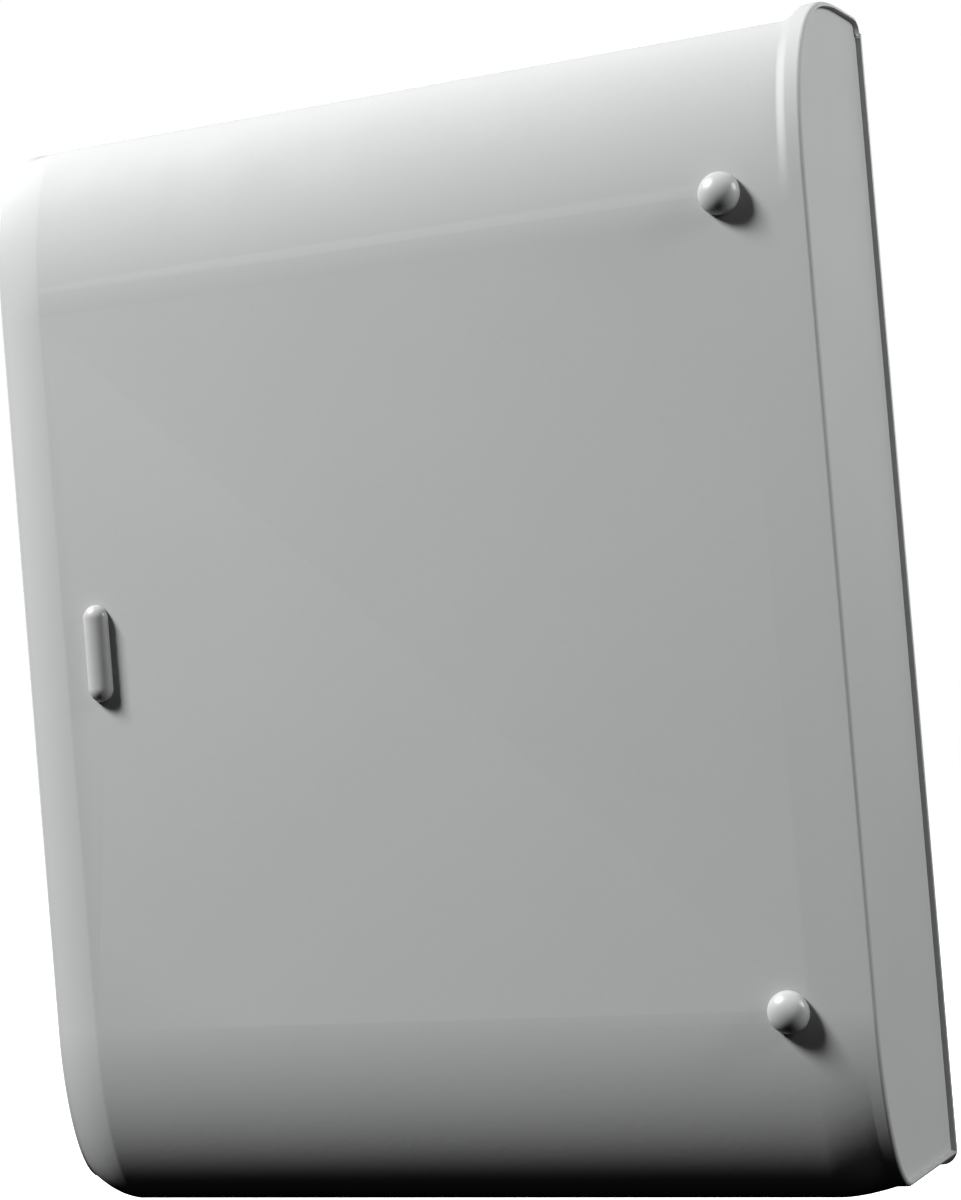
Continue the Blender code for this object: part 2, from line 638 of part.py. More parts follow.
def make_sounder(parts):
    """The sounder: a flared horn that faces down and the driver above its throat."""
    length = HORN_THROAT_Z - HORN_MOUTH_Z
    inside = []
    for step in range(HORN_STEPS + 1):
        share = step / HORN_STEPS
        radius = HORN_THROAT_R * (HORN_MOUTH_R / HORN_THROAT_R) ** share
        inside.append((radius, -length * share))
    outside = [(radius + HORN_WALL, height) for radius, height in inside]
    throat = (HORN_X, HORN_Y, HORN_THROAT_Z)
    turned("horn", outside + inside[::-1], throat, (0.0, 0.0, 0.0), parts,
           ((0.04, 0.04, 0.04), 0.5), steps=24, closed=True)
    tall = DRIVER_TOP_Z - HORN_THROAT_Z
    low, high = DRIVER_GROOVE_Z
    driver = ((0.0, tall), (DRIVER_R - DRIVER_CHAMFER, tall), (DRIVER_R, tall - DRIVER_CHAMFER),
              (DRIVER_R, high), (DRIVER_R - DRIVER_GROOVE, high - GAP),
              (DRIVER_R - DRIVER_GROOVE, low + GAP), (DRIVER_R, low),
              (DRIVER_R, DRIVER_NECK + DRIVER_CHAMFER), (DRIVER_NECK_R, DRIVER_NECK),
              (DRIVER_NECK_R, GAP), (0.0, GAP))
    turned("horn_driver", driver, throat, (0.0, 0.0, 0.0), parts,
           ((0.05, 0.05, 0.055), 0.35), steps=24)


def make_bracket(parts, cutters):
    """The angle bracket that carries the driver, screwed to the plate."""
    shelf_z = DRIVER_TOP_Z + GAP
    low_x, high_x = HORN_X - BRACKET_HALF, HORN_X + BRACKET_HALF
    bracket = box("horn_bracket", (low_x, HORN_Y - BRACKET_HALF, shelf_z),
                  (high_x, PLATE_FRONT, shelf_z + TRAY), parts, STEEL)
    foot = box("join_bracket_foot", (low_x, PLATE_FRONT - TRAY, shelf_z + TRAY / 2),
               (high_x, PLATE_FRONT, shelf_z + BRACKET_HALF), cutters)
    join(bracket, foot, "UNION")
    return bracket


def make_battery(parts, cutters):
    """The standby battery on its tray, held by a strap."""
    box("battery", (BATTERY_X[0], BATTERY_Y[0], BATTERY_Z[0]),
        (BATTERY_X[1], BATTERY_Y[1], BATTERY_Z[1]), parts, ((0.05, 0.05, 0.055), 0.45),
        bevel=0.001)
    for sign, x in zip(("plus", "minus"), TAB_X):
        box("battery_tab_" + sign, (x - TAB_HALF_WIDTH, TAB_Y - TAB_HALF, BATTERY_Z[1] + GAP),
            (x + TAB_HALF_WIDTH, TAB_Y + TAB_HALF, BATTERY_Z[1] + TAB_HEIGHT), parts,
            ((0.7, 0.7, 0.68), 0.3, 1.0))
    top = BATTERY_Z[0] - GAP
    front = BATTERY_Y[0] - GAP
    tray = box("battery_tray", (BATTERY_X[0], front - TRAY, top - TRAY),
               (BATTERY_X[1], PLATE_FRONT, top), parts, STEEL)
    lip = box("join_tray_lip", (BATTERY_X[0], front - TRAY, top - TRAY / 2),
              (BATTERY_X[1], front, top + TRAY_LIP), cutters)
    foot = box("join_tray_foot", (BATTERY_X[0], PLATE_FRONT - TRAY, top - TRAY_FOOT),
               (BATTERY_X[1], PLATE_FRONT, top - TRAY / 2), cutters)
    join(tray, lip, "UNION")
    join(tray, foot, "UNION")
    return tray


def make_strap(parts):
    """The flat steel strap from the plate over the battery and down its front."""
    over = BATTERY_Z[1] + GAP
    front = BATTERY_Y[0] - GAP
    line = ((PLATE_FRONT, BATTERY_Z[1] + STRAP_FOOT), (PLATE_FRONT, over + STRAP),
            (PLATE_FRONT - STRAP, over), (front - STRAP / 2, over), (front, over - STRAP / 2),
            (front, BATTERY_Z[0] + STRAP_END))
    data = bmesh.new()
    sides = [[data.verts.new((x, y, z)) for y, z in line] for x in STRAP_X]
    for index in range(len(line) - 1):
        data.faces.new((sides[0][index], sides[1][index], sides[1][index + 1], sides[0][index + 1]))
    bmesh.ops.recalc_face_normals(data, faces=data.faces)
    front_face = min(data.faces, key=lambda face: face.calc_center_median().y)
    if front_face.normal.y < 0:
        bmesh.ops.reverse_faces(data, faces=data.faces)
    strap = add_mesh("battery_strap", data, parts, STEEL)
    band = strap.modifiers.new("Solidify", "SOLIDIFY")
    band.thickness = STRAP
    band.offset = -1.0
    band.use_even_offset = True
    return strap


def make_plate_screws(held, parts, cutters):
    """Drills the brackets and the strap and adds the screws that fix them to the plate."""
    bracket, tray, strap = held
    plan = [(bracket, "bracket_screw_1", TRAY), (bracket, "bracket_screw_2", TRAY),
            (tray, "tray_screw_1", TRAY), (tray, "tray_screw_2", TRAY),
            (strap, "strap_screw", STRAP)]
    for (piece, name, thickness), (x, z) in zip(plan, plate_screw_places()):
        hole = rod("cut_" + name, (x, PLATE_FRONT - THROUGH, z), (x, PLATE_FRONT + GAP, z), M3_HOLE_R,
                   cutters, sides=12)
        join(piece, hole, "DIFFERENCE")
        make_small_screw(name, x, z, PLATE_FRONT - thickness, thickness + 0.003, parts)


def make_grommet(parts):
    """The rubber grommet that lines the cable entry."""
    body_r = ENTRY_R - GAP
    outline = ((GROMMET_FLANGE_R, GROMMET_FLANGE), (GROMMET_FLANGE_R, 0.0), (body_r, 0.0),
               (body_r, -GROMMET_SLEEVE), (GROMMET_BORE_R, -GROMMET_SLEEVE),
               (GROMMET_BORE_R, GROMMET_FLANGE))
    return turned("cable_grommet", outline, (ENTRY_X, PLATE_FRONT, ENTRY_Z), TOWARDS_FRONT,
                  parts, ((0.02, 0.02, 0.02), 0.8), steps=24, closed=True)


def smooth_route(points, steps):
    """Points along a smooth curve through the given ones (Catmull-Rom)."""
    route = [Vector(point) for point in points]
    route = [2 * route[0] - route[1]] + route + [2 * route[-1] - route[-2]]
    path = []
    for index in range(1, len(route) - 2):
        before, start, end, after = route[index - 1:index + 3]
        for step in range(steps):
            t = step / steps
            path.append(0.5 * (2 * start + (end - before) * t
                               + (2 * before - 5 * start + 4 * end - after) * t ** 2
                               + (3 * start - before - 3 * end + after) * t ** 3))
    path.append(route[-2])
    return path


def make_lead(name, points, colour, parts):
    """A wire as a poly curve with a round section and filled ends."""
    path = smooth_route(points, 4)
    curve = bpy.data.curves.new(name, "CURVE")
    curve.dimensions = "3D"
    curve.bevel_depth = LEAD_R
    curve.bevel_resolution = 2
    curve.use_fill_caps = True
    spline = curve.splines.new("POLY")
    spline.points.add(len(path) - 1)
    for point, place in zip(spline.points, path):
        point.co = (*place, 1.0)
    curve.materials.append(new_material(name + "_finish", colour, 0.5))
    lead = bpy.data.objects.new(name, curve)
    parts.objects.link(lead)
    return lead


def make_leads(parts):
    """The two battery leads and the sounder lead, each held at both ends."""
    entry_y = ON_BOARD_Y - 0.004
    top = TERMINAL_Z[1] + GAP
    tab_top = BATTERY_Z[1] + TAB_HEIGHT + GAP
    first, second, third = (TERMINAL_X[0] + 0.010 * (way + 0.5) for way in (0, 1, 3))
    make_lead("battery_lead_plus",
              [(TAB_X[0], TAB_Y, tab_top), (0.007, -0.027, 0.090), (-0.010, -0.032, 0.092),
               (-0.045, -0.038, 0.080), (-0.075, -0.036, 0.045), (-0.078, -0.032, 0.015),
               (first, -0.026, -0.004), (first, entry_y, top)], (0.5, 0.02, 0.02), parts)
    make_lead("battery_lead_minus",
              [(TAB_X[1], TAB_Y, tab_top), (0.080, -0.030, 0.090), (0.040, -0.036, 0.094),
               (0.000, -0.042, 0.096), (-0.030, -0.045, 0.088), (-0.058, -0.045, 0.058),
               (-0.066, -0.036, 0.020), (second, -0.026, -0.004), (second, entry_y, top)],
              (0.02, 0.02, 0.02), parts)
    make_lead("sounder_lead",
              [(HORN_X - DRIVER_R - GAP, HORN_Y, DRIVER_TOP_Z - 0.005), (-0.002, HORN_Y, -0.072),
               (-0.020, -0.030, -0.060), (-0.040, -0.026, -0.048), (third, -0.022, -0.036),
               (third, entry_y, TERMINAL_Z[0] - GAP)], (0.3, 0.3, 0.32), parts)


def hang_on_hinge(moving, parts):
    """Parents what opens with the cover to an empty on the hinge axis."""
    axis = bpy.data.objects.new("cover_hinge_axis", None)
    parts.objects.link(axis)
    axis.location = (PIVOT_X, PIVOT_Y, 0.0)
    back = Matrix.Translation(axis.location).inverted()
    for thing in moving:
        thing.parent = axis
        thing.matrix_parent_inverse = back


def build():
    clear_scene()
    parts = new_collection("alarm_siren")
    cutters = new_collection("cutters")
    moving = [make_cover(parts, cutters), make_end_panel(parts), make_light_guide(parts, cutters)]
    make_plate(parts, cutters)
    for side, sign in (("upper", 1), ("lower", -1)):
        _, tab, _ = make_hinge(side, sign, parts, cutters)
        moving.append(tab)
    for side, z in SCREW_PLACES:
        moving += make_cover_screw(side, z, parts)
        make_screw_post(side, z, parts)
    make_board(parts, cutters)
    make_terminal_block(parts, cutters)
    make_components(parts)
    make_tamper(parts, cutters)
    make_sounder(parts)
    bracket = make_bracket(parts, cutters)
    tray = make_battery(parts, cutters)
    strap = make_strap(parts)
    make_plate_screws((bracket, tray, strap), parts, cutters)
    make_grommet(parts)
    make_leads(parts)
    hang_on_hinge(moving, parts)


build()
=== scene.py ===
"""Looks of a wall-mounted alarm siren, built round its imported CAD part.

The frame is the part's own: the origin lies on the back plate's rear face, near its middle,
+X is the siren's right, +Y points into the wall and +Z is up, all in metres.
"""
import json
import math
import random

import bmesh
import bpy
import numpy as np
from mathutils import Matrix, Vector

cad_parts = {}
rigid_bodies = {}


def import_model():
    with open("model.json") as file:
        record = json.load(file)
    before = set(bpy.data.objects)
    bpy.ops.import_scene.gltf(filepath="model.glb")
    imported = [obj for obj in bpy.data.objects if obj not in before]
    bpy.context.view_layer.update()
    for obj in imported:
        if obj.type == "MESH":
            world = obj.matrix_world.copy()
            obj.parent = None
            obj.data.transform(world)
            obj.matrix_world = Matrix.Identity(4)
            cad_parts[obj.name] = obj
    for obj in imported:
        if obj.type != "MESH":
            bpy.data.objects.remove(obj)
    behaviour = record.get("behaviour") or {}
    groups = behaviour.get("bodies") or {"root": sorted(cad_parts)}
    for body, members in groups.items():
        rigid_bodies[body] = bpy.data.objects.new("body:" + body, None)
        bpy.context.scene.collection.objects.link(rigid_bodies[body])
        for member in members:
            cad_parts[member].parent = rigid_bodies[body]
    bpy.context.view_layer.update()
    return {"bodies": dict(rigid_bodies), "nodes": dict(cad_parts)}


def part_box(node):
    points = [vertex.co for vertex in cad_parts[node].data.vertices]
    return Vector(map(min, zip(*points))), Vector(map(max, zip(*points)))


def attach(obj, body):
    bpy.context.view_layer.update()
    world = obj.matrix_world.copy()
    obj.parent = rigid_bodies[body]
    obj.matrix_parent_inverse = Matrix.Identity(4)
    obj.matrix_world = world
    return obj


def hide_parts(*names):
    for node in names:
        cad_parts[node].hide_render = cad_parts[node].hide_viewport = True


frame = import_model()

cover_low, cover_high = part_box("front_cover")
plate_low, plate_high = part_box("back_plate")
board_low, board_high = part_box("circuit_board")

# Housing
FRONT_Y = cover_low.y
COVER_BACK_Y = cover_high.y
TOP_Z = -plate_low.z        # of the sheet: the ends and the plate's ear stand higher
LEFT_X = cover_low.x
RIGHT_X = cover_high.x
BEND_RISE = 0.050
BEND_DEPTH = 0.018
BEND_STEPS = 72
END_RISE = 0.0575          # the two ends stand higher at the top than the sheet between them
END_DEPTH = 0.050
END_SQUARE = 3.0
FOOT_RISE = 0.0475         # and tuck in at the bottom
FOOT_DEPTH = 0.0195
REAR_STEPS = 12
REAR_ROUND = 0.004         # rounding of the ends' rear corners
STRIP_WIDTH = 0.0155       # the sloping strip along the left
STRIP_DROP = 0.0032        # how far it falls back
STRIP_START = 0.4          # slope at its crease, as a share of its average
STRIP_STEPS = 14
LEFT_ROUND = 0.0015
LEFT_STEPS = 6
FLARE = (0.0070, 0.0040)   # where the sheet rises to the right end, measured from that end
FLARE_STEPS = 10
TUCK = 0.018               # over what width the sheet's underside tucks in there
TUCK_POWER = 1.6
TUCK_STEPS = 6
RIGHT_ROUND = 0.0012
LIP_STEPS = 6
SHEET = 0.0015
GAP = 0.0003
END_RECESS = 0.0013
END_PANEL = 0.001
EDGE = 0.0003              # how much sheet metal edges are rounded
REAR_LAP = 0.00035         # the cover's rear edge closes most of the gap to the back plate
PLATE_ROUND = 0.0026       # rounding of the back plate's rear edge
PLATE_CORNER = 0.004       # rounding of its lower right corner
PLATE_RIM = 0.005          # its rim lies within this of its sides
RIM_ANGLE = 1.0            # rim edges bent more than this, in radians, are rounded
SHANK_R = 0.002            # of the cover screws
LEAD_R = 0.0009

SLOT_COUNT = 5
SLOT_PITCH = 0.011
SLOT_WIDTH = 0.007
SLOT_Y = (-0.046, -0.014)
SCREW_HOLE_R = 0.0026

# Light guide: the raised pill on the front, and the stem behind it
GUIDE_LOW, GUIDE_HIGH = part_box("status_light_guide")
STEM_HALF = Vector((0.0022, 0.0, 0.008))
PILL = Vector((GUIDE_HIGH.x - GUIDE_LOW.x, 0.0, GUIDE_HIGH.z - GUIDE_LOW.z))
PILL_MIDDLE = (GUIDE_LOW + GUIDE_HIGH) / 2
STEM = (Vector((PILL_MIDDLE.x, FRONT_Y - GAP, PILL_MIDDLE.z)) - STEM_HALF,
        Vector((PILL_MIDDLE.x, GUIDE_HIGH.y, PILL_MIDDLE.z)) + STEM_HALF)

PAINT = (0.42, 0.43, 0.425)
FRONTWARD = Matrix.Rotation(math.pi / 2, 4, "X")      # an object's own +Z points to the front
UPWARD = Matrix.Identity(4)


# ---------------------------------------------------------------- materials

def new_node(tree, kind, **inputs):
    """A shader node with its inputs set, spaces in their names written as underscores."""
    node = tree.nodes.new(kind)
    for name, value in inputs.items():
        node.inputs[name.replace("_", " ")].default_value = value
    return node


def noise(tree, vector, scale, detail=3.0):
    node = new_node(tree, "ShaderNodeTexNoise", Scale=scale, Detail=detail)
    tree.links.new(vector, node.inputs["Vector"])
    return node.outputs["Fac"]


def remap(tree, value, low, high, start=0.3, end=0.7):
    node = tree.nodes.new("ShaderNodeMapRange")
    node.inputs["From Min"].default_value = start
    node.inputs["From Max"].default_value = end
    node.inputs["To Min"].default_value = low
    node.inputs["To Max"].default_value = high
    tree.links.new(value, node.inputs["Value"])
    return node.outputs["Result"]


def blend_colour(tree, factor, first, second):
    """Mixes two colours; each is three numbers or another node's output."""
    node = tree.nodes.new("ShaderNodeMix")
    node.data_type = "RGBA"
    tree.links.new(factor, node.inputs["Factor"])
    for socket, colour in ((node.inputs[6], first), (node.inputs[7], second)):
        if isinstance(colour, bpy.types.NodeSocket):
            tree.links.new(colour, socket)
        else:
            socket.default_value = (*colour, 1.0)
    return node.outputs[2]


def surface(name, colour, roughness, metallic=0.0, drift=0.05, drift_scale=35.0, grain=0.00002,
            grain_scale=900.0, spread=0.06, stretch=(1.0, 1.0, 1.0), edge=0.0, speck=0.0,
            **sockets):
    """Slow drift of colour, fine relief and uneven gloss, laid out in the object's own space."""
    material = bpy.data.materials.new(name)
    material.use_nodes = True
    tree = material.node_tree
    shader = tree.nodes["Principled BSDF"]
    place = tree.nodes.new("ShaderNodeTexCoord").outputs["Object"]
    mapping = new_node(tree, "ShaderNodeMapping", Scale=stretch)
    tree.links.new(place, mapping.inputs["Vector"])
    grained = mapping.outputs["Vector"]

    patches = remap(tree, noise(tree, place, drift_scale, 4.0), 0.0, 1.0)
    darker = [channel * (1 - drift) for channel in colour]
    lighter = [min(1.0, channel * (1 + drift)) for channel in colour]
    tint = blend_colour(tree, patches, darker, lighter)
    if speck:
        spots = remap(tree, noise(tree, place, grain_scale * 1.7, 1.0), 0.0, speck, 0.62, 0.78)
        tint = blend_colour(tree, spots, tint, [channel * 0.5 for channel in colour])
    if edge:
        bend = tree.nodes.new("ShaderNodeNewGeometry").outputs["Pointiness"]
        rubbed = remap(tree, bend, 0.0, edge, 0.52, 0.62)
        worn = [min(1.0, channel * 1.5 + 0.02) for channel in colour]
        tint = blend_colour(tree, rubbed, tint, worn)
    tree.links.new(tint, shader.inputs["Base Color"])

    gloss = noise(tree, grained, grain_scale / 9)
    gloss = remap(tree, gloss, roughness - spread, roughness + spread)
    tree.links.new(gloss, shader.inputs["Roughness"])
    relief = new_node(tree, "ShaderNodeBump", Strength=1.0, Distance=grain)
    tree.links.new(noise(tree, grained, grain_scale), relief.inputs["Height"])
    tree.links.new(relief.outputs["Normal"], shader.inputs["Normal"])
    shader.inputs["Metallic"].default_value = metallic
    for socket, value in sockets.items():
        shader.inputs[socket.replace("_", " ")].default_value = value
    return material


BRUSHED = (1.0, 12.0, 12.0)
LOOKS = {
    "cover_paint": surface("powder_coat", PAINT, 0.62, drift=0.012, drift_scale=14, grain=0.000018,
                           grain_scale=520, spread=0.04, edge=0.12, speck=0.05,
                           Specular_IOR_Level=0.18),
    "plate_paint": surface("plate_powder_coat", (0.36, 0.37, 0.37), 0.5, drift=0.03, drift_scale=18,
                           grain=0.00003, grain_scale=520, edge=0.25, speck=0.08),
    "grey_plastic": surface("diffusing_plastic", (0.40, 0.41, 0.405), 0.34, drift=0.02,
                            grain=0.000006,
                            grain_scale=1500, Subsurface_Weight=0.12, Subsurface_Scale=0.002),
    "screw_finish": surface("coated_screw", (0.40, 0.41, 0.405), 0.32, drift=0.02, grain=0.000006,
                            grain_scale=1400, edge=0.15),
    "bracket_steel": surface("zinc_sheet", (0.58, 0.59, 0.60), 0.34, 1.0, drift=0.14,
                             drift_scale=90,
                             grain=0.00002, grain_scale=700, spread=0.1, stretch=BRUSHED),
    "bright_steel": surface("zinc_bright", (0.66, 0.66, 0.67), 0.24, 1.0, drift=0.08,
                            drift_scale=400,
                            grain=0.00001, grain_scale=2500, spread=0.08),
    "standoff_brass": surface("brass", (0.78, 0.58, 0.27), 0.27, 1.0, drift=0.09, drift_scale=300,
                              grain=0.00001, grain_scale=2500, spread=0.08, stretch=(1, 8, 1)),
    "nylon": surface("natural_nylon", (0.80, 0.79, 0.73), 0.42, drift=0.04, grain=0.00001,
                     grain_scale=1500, Subsurface_Weight=0.3, Subsurface_Scale=0.002),
    "board_green": surface("solder_mask", (0.012, 0.11, 0.045), 0.3, drift=0.14, drift_scale=120,
                           grain=0.00002, grain_scale=1600, spread=0.08, Coat_Weight=0.4),
    "terminal_green": surface("terminal_plastic", (0.02, 0.26, 0.09), 0.42, drift=0.06,
                              grain=0.00002,
                              grain_scale=2200, edge=0.3),
    "relay_blue": surface("relay_plastic", (0.02, 0.07, 0.33), 0.28, drift=0.06, grain=0.000012,
                          grain_scale=1800, edge=0.3),
    "black_plastic": surface("textured_black", (0.017, 0.017, 0.019), 0.46, drift=0.2,
                             drift_scale=60,
                             grain=0.00004, grain_scale=1700, spread=0.1, edge=0.5),
    "capacitor_sleeve": surface("shrunk_sleeve", (0.018, 0.02, 0.075), 0.24, drift=0.08,
                                grain=0.00001, grain_scale=1300, Coat_Weight=0.3),
    "coil_copper": surface("enamelled_copper", (0.62, 0.24, 0.09), 0.26, 1.0, drift=0.14,
                           drift_scale=500, grain=0.00001, grain_scale=2600, Coat_Weight=0.6),
    "led_red": surface("clear_red", (0.62, 0.012, 0.008), 0.12, drift=0.05, grain=0.000003,
                       grain_scale=1200, spread=0.03, Transmission_Weight=0.45),
    "black_rubber": surface("rubber", (0.014, 0.014, 0.014), 0.72, drift=0.25, drift_scale=150,
                            grain=0.00005, grain_scale=1300, spread=0.1, speck=0.3),
    "lead_red": surface("red_insulation", (0.42, 0.012, 0.01), 0.36, drift=0.06, grain=0.00002,
                        grain_scale=900),
    "lead_black": surface("black_insulation", (0.014, 0.014, 0.014), 0.36, drift=0.15,
                          grain=0.00002,
                          grain_scale=900),
    "lead_grey": surface("grey_insulation", (0.2, 0.2, 0.21), 0.4, drift=0.06, grain=0.00002,
                         grain_scale=900),
}
TINNED = surface("tinned", (0.72, 0.72, 0.70), 0.3, 1.0, drift=0.1, drift_scale=900,
                 grain=0.00002, grain_scale=3000, spread=0.1)
GOLD = surface("gold_flash", (0.85, 0.62, 0.25), 0.25, 1.0, drift=0.06, drift_scale=900,
               grain=0.00001, grain_scale=3000)
TRACE = surface("mask_over_copper", (0.03, 0.2, 0.075), 0.27, drift=0.1, drift_scale=300,
                grain=0.00001, grain_scale=2000, Coat_Weight=0.4)
SILK = surface("silkscreen", (0.75, 0.76, 0.74), 0.55, drift=0.06, drift_scale=900, grain=0.00001,
               grain_scale=3000)
CERAMIC = surface("ceramic_part", (0.23, 0.16, 0.10), 0.45, drift=0.2, drift_scale=500,
                  grain=0.00001,
                  grain_scale=3000)
LABEL = surface("plain_label", (0.48, 0.49, 0.50), 0.42, drift=0.03, grain=0.000008,
                grain_scale=1200)
FERRITE = surface("ferrite", (0.045, 0.045, 0.05), 0.55, drift=0.15, drift_scale=400, grain=0.00003,
                  grain_scale=1800)
ALUMINIUM = surface("can_aluminium", (0.75, 0.76, 0.77), 0.3, 1.0, drift=0.05, drift_scale=500,
                    grain=0.00001, grain_scale=2500, stretch=(1, 1, 6))


# ---------------------------------------------------------------- mesh tools

def add_object(name, data, matrix=UPWARD, sharp=35.0):
    """Makes a bmesh an object with smooth faces that meet sharply past an angle."""
    bmesh.ops.transform(data, matrix=matrix, verts=data.verts)
    mesh = bpy.data.meshes.new(name)
    data.to_mesh(mesh)
    data.free()
    mesh.shade_smooth()
    mesh.set_sharp_from_angle(angle=math.radians(sharp))
    thing = bpy.data.objects.new(name, mesh)
    bpy.context.scene.collection.objects.link(thing)
    return thing


def place_piece(thing, material, body="root", stands_for=()):
    """Gives a piece its material and its CAD body, and hides the CAD nodes it stands for."""
    thing.data.materials.clear()
    thing.data.materials.append(LOOKS[material] if isinstance(material, str) else material)
    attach(thing, body)
    if stands_for:
        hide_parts(*stands_for)
    return thing


def settle(thing):
    """Applies an object's modifiers."""
    graph = bpy.context.evaluated_depsgraph_get()
    graph.update()
    mesh = bpy.data.meshes.new_from_object(thing.evaluated_get(graph))
    thing.modifiers.clear()
    thing.data = mesh


def carve(thing, tools):
    """Cuts the tools out of an object and removes them."""
    for tool in tools:
        cut = thing.modifiers.new("Cut", "BOOLEAN")
        cut.operation = "DIFFERENCE"
        cut.solver = "EXACT"
        cut.object = tool
    settle(thing)
    for tool in tools:
        bpy.data.objects.remove(tool)


def soften(thing, width=EDGE, segments=2, angle=38.0):
    """Rounds an object's sharp edges and settles its shading."""
    rounding = thing.modifiers.new("Edges", "BEVEL")
    rounding.width = width
    rounding.segments = segments
    rounding.limit_method = "ANGLE"
    rounding.angle_limit = math.radians(angle)
    rounding.miter_outer = "MITER_ARC"
    settle(thing)
    thing.data.shade_smooth()
    thing.data.set_sharp_from_angle(angle=math.radians(angle))
    shading = thing.modifiers.new("Shading", "WEIGHTED_NORMAL")
    shading.weight = 100
    shading.keep_sharp = True
    settle(thing)
    return thing


def whole_faces(node):
    """A copy of a CAD node's mesh, each flat face in one piece."""
    data = bmesh.new()
    data.from_mesh(frame["nodes"][node].data)
    bmesh.ops.remove_doubles(data, verts=data.verts, dist=0.00001)
    bmesh.ops.dissolve_limit(data, angle_limit=math.radians(1), verts=data.verts, edges=data.edges)
    return data


def refined(node, width=EDGE):
    """A copy of a CAD node with rounded edges."""
    return soften(add_object(node + "_fine", whole_faces(node)), width)


def add_block(data, low, high):
    """Adds one closed box to a bmesh."""
    low, high = Vector(low), Vector(high)
    made = bmesh.ops.create_cube(data, size=1.0)["verts"]
    bmesh.ops.scale(data, vec=high - low, verts=made)
    bmesh.ops.translate(data, vec=(low + high) / 2, verts=made)


def brick(name, low, high, radius=0.0005, segments=3):
    """A block with rounded edges."""
    data = bmesh.new()
    add_block(data, low, high)
    bmesh.ops.bevel(data, geom=data.edges, offset=radius, segments=segments, profile=0.5,
                    affect="EDGES", clamp_overlap=True)
    return add_object(name, data)


def rounded(points, radius, steps=4):
    """An open outline with every corner between its ends rounded."""
    result = [Vector(points[0])]
    for before, corner, after in zip(points, points[1:], points[2:]):
        corner = Vector(corner)
        back, on = Vector(before) - corner, Vector(after) - corner
        reach = min(radius, back.length * 0.45, on.length * 0.45)
        start, end = corner + back.normalized() * reach, corner + on.normalized() * reach
        for step in range(steps + 1):
            t = step / steps
            result.append(start * (1 - t) ** 2 + corner * (2 * t * (1 - t)) + end * t ** 2)
    return result + [Vector(points[-1])]


def lathe_mesh(profile, sides=64, closed=False):
    """A turned body about Z, from an outline of (radius, height) points."""
    data = bmesh.new()
    rings = []
    for radius, height in profile:
        count = sides if radius > 1e-7 else 1
        angles = [2 * math.pi * index / sides for index in range(count)]
        rings.append([data.verts.new((radius * math.cos(a), radius * math.sin(a), height))
                      for a in angles])
    for first, second in zip(rings, rings[1:] + (rings[:1] if closed else [])):
        for index in range(sides):
            on = (index + 1) % sides
            corners = [first[index % len(first)], first[on % len(first)],
                       second[on % len(second)], second[index % len(second)]]
            corners = list(dict.fromkeys(corners))
            if len(corners) > 2:
                data.faces.new(corners)
    bmesh.ops.recalc_face_normals(data, faces=data.faces)
    return data


def lathe(name, profile, centre, turn=FRONTWARD, sides=64, closed=False, sharp=35.0):
    data = lathe_mesh(profile, sides, closed)
    return add_object(name, data, Matrix.Translation(centre) @ turn, sharp)


def tube(name, points, radius, resolution=4):
    """A round wire along points, as a mesh with filled ends."""
    curve = bpy.data.curves.new(name, "CURVE")
    curve.dimensions = "3D"
    curve.bevel_depth = radius
    curve.bevel_resolution = resolution
    curve.use_fill_caps = True
    spline = curve.splines.new("POLY")
    spline.points.add(len(points) - 1)
    for point, at in zip(spline.points, points):
        point.co = (*at, 1.0)
    guide = bpy.data.objects.new(name + "_guide", curve)
    bpy.context.scene.collection.objects.link(guide)
    graph = bpy.context.evaluated_depsgraph_get()
    data = bmesh.new()
    data.from_mesh(bpy.data.meshes.new_from_object(guide.evaluated_get(graph)))
    bmesh.ops.remove_doubles(data, verts=data.verts, dist=radius / 20)
    bpy.data.objects.remove(guide)
    return add_object(name, data, sharp=50.0)


def middle(node):
    low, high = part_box(node)
    return (low + high) / 2


def rear_of(node):
    """The middle of a node's rear side."""
    centre = middle(node)
    return Vector((centre.x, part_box(node)[1].y, centre.z))


def turned_size(node):
    """The radius of a node turned about the front-to-back axis, and its length."""
    low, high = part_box(node)
    return (high.x - low.x) / 2, high.y - low.y


# ---------------------------------------------------------------- the cover

def evenly(points, steps):
    """The same line, its points spaced evenly along it."""
    points = np.array(points)
    lengths = np.concatenate(([0.0], np.cumsum(np.hypot(*np.diff(points, axis=0).T))))
    wanted = np.linspace(0.0, lengths[-1], steps + 1)
    return np.column_stack([np.interp(wanted, lengths, points[:, axis]) for axis in (0, 1)])


def bowed_corner(rise, depth, square, inset, rear_round=0.0):
    """One bowed corner as (y, height), from the rear edge round to the flat front."""
    base = TOP_Z - BEND_RISE
    fine = 4 * BEND_STEPS
    back_y = COVER_BACK_Y + REAR_LAP
    top = base + rise - inset
    points = [(back_y, top - rear_round)]
    if rear_round:
        for step in range(1, REAR_STEPS + 1):
            angle = math.pi / 2 * step / REAR_STEPS
            points.append((back_y - rear_round * (1 - math.cos(angle)),
                           top - rear_round * (1 - math.sin(angle))))
    for step in range(fine + 1):
        angle = math.pi / 2 * step / fine
        across = math.sin(angle) ** (2 / square)
        upward = max(math.cos(angle), 0.0) ** (2 / square)
        points.append((FRONT_Y + depth - (depth - inset) * across,
                       base + (rise - inset) * upward))
    return evenly(points, BEND_STEPS)


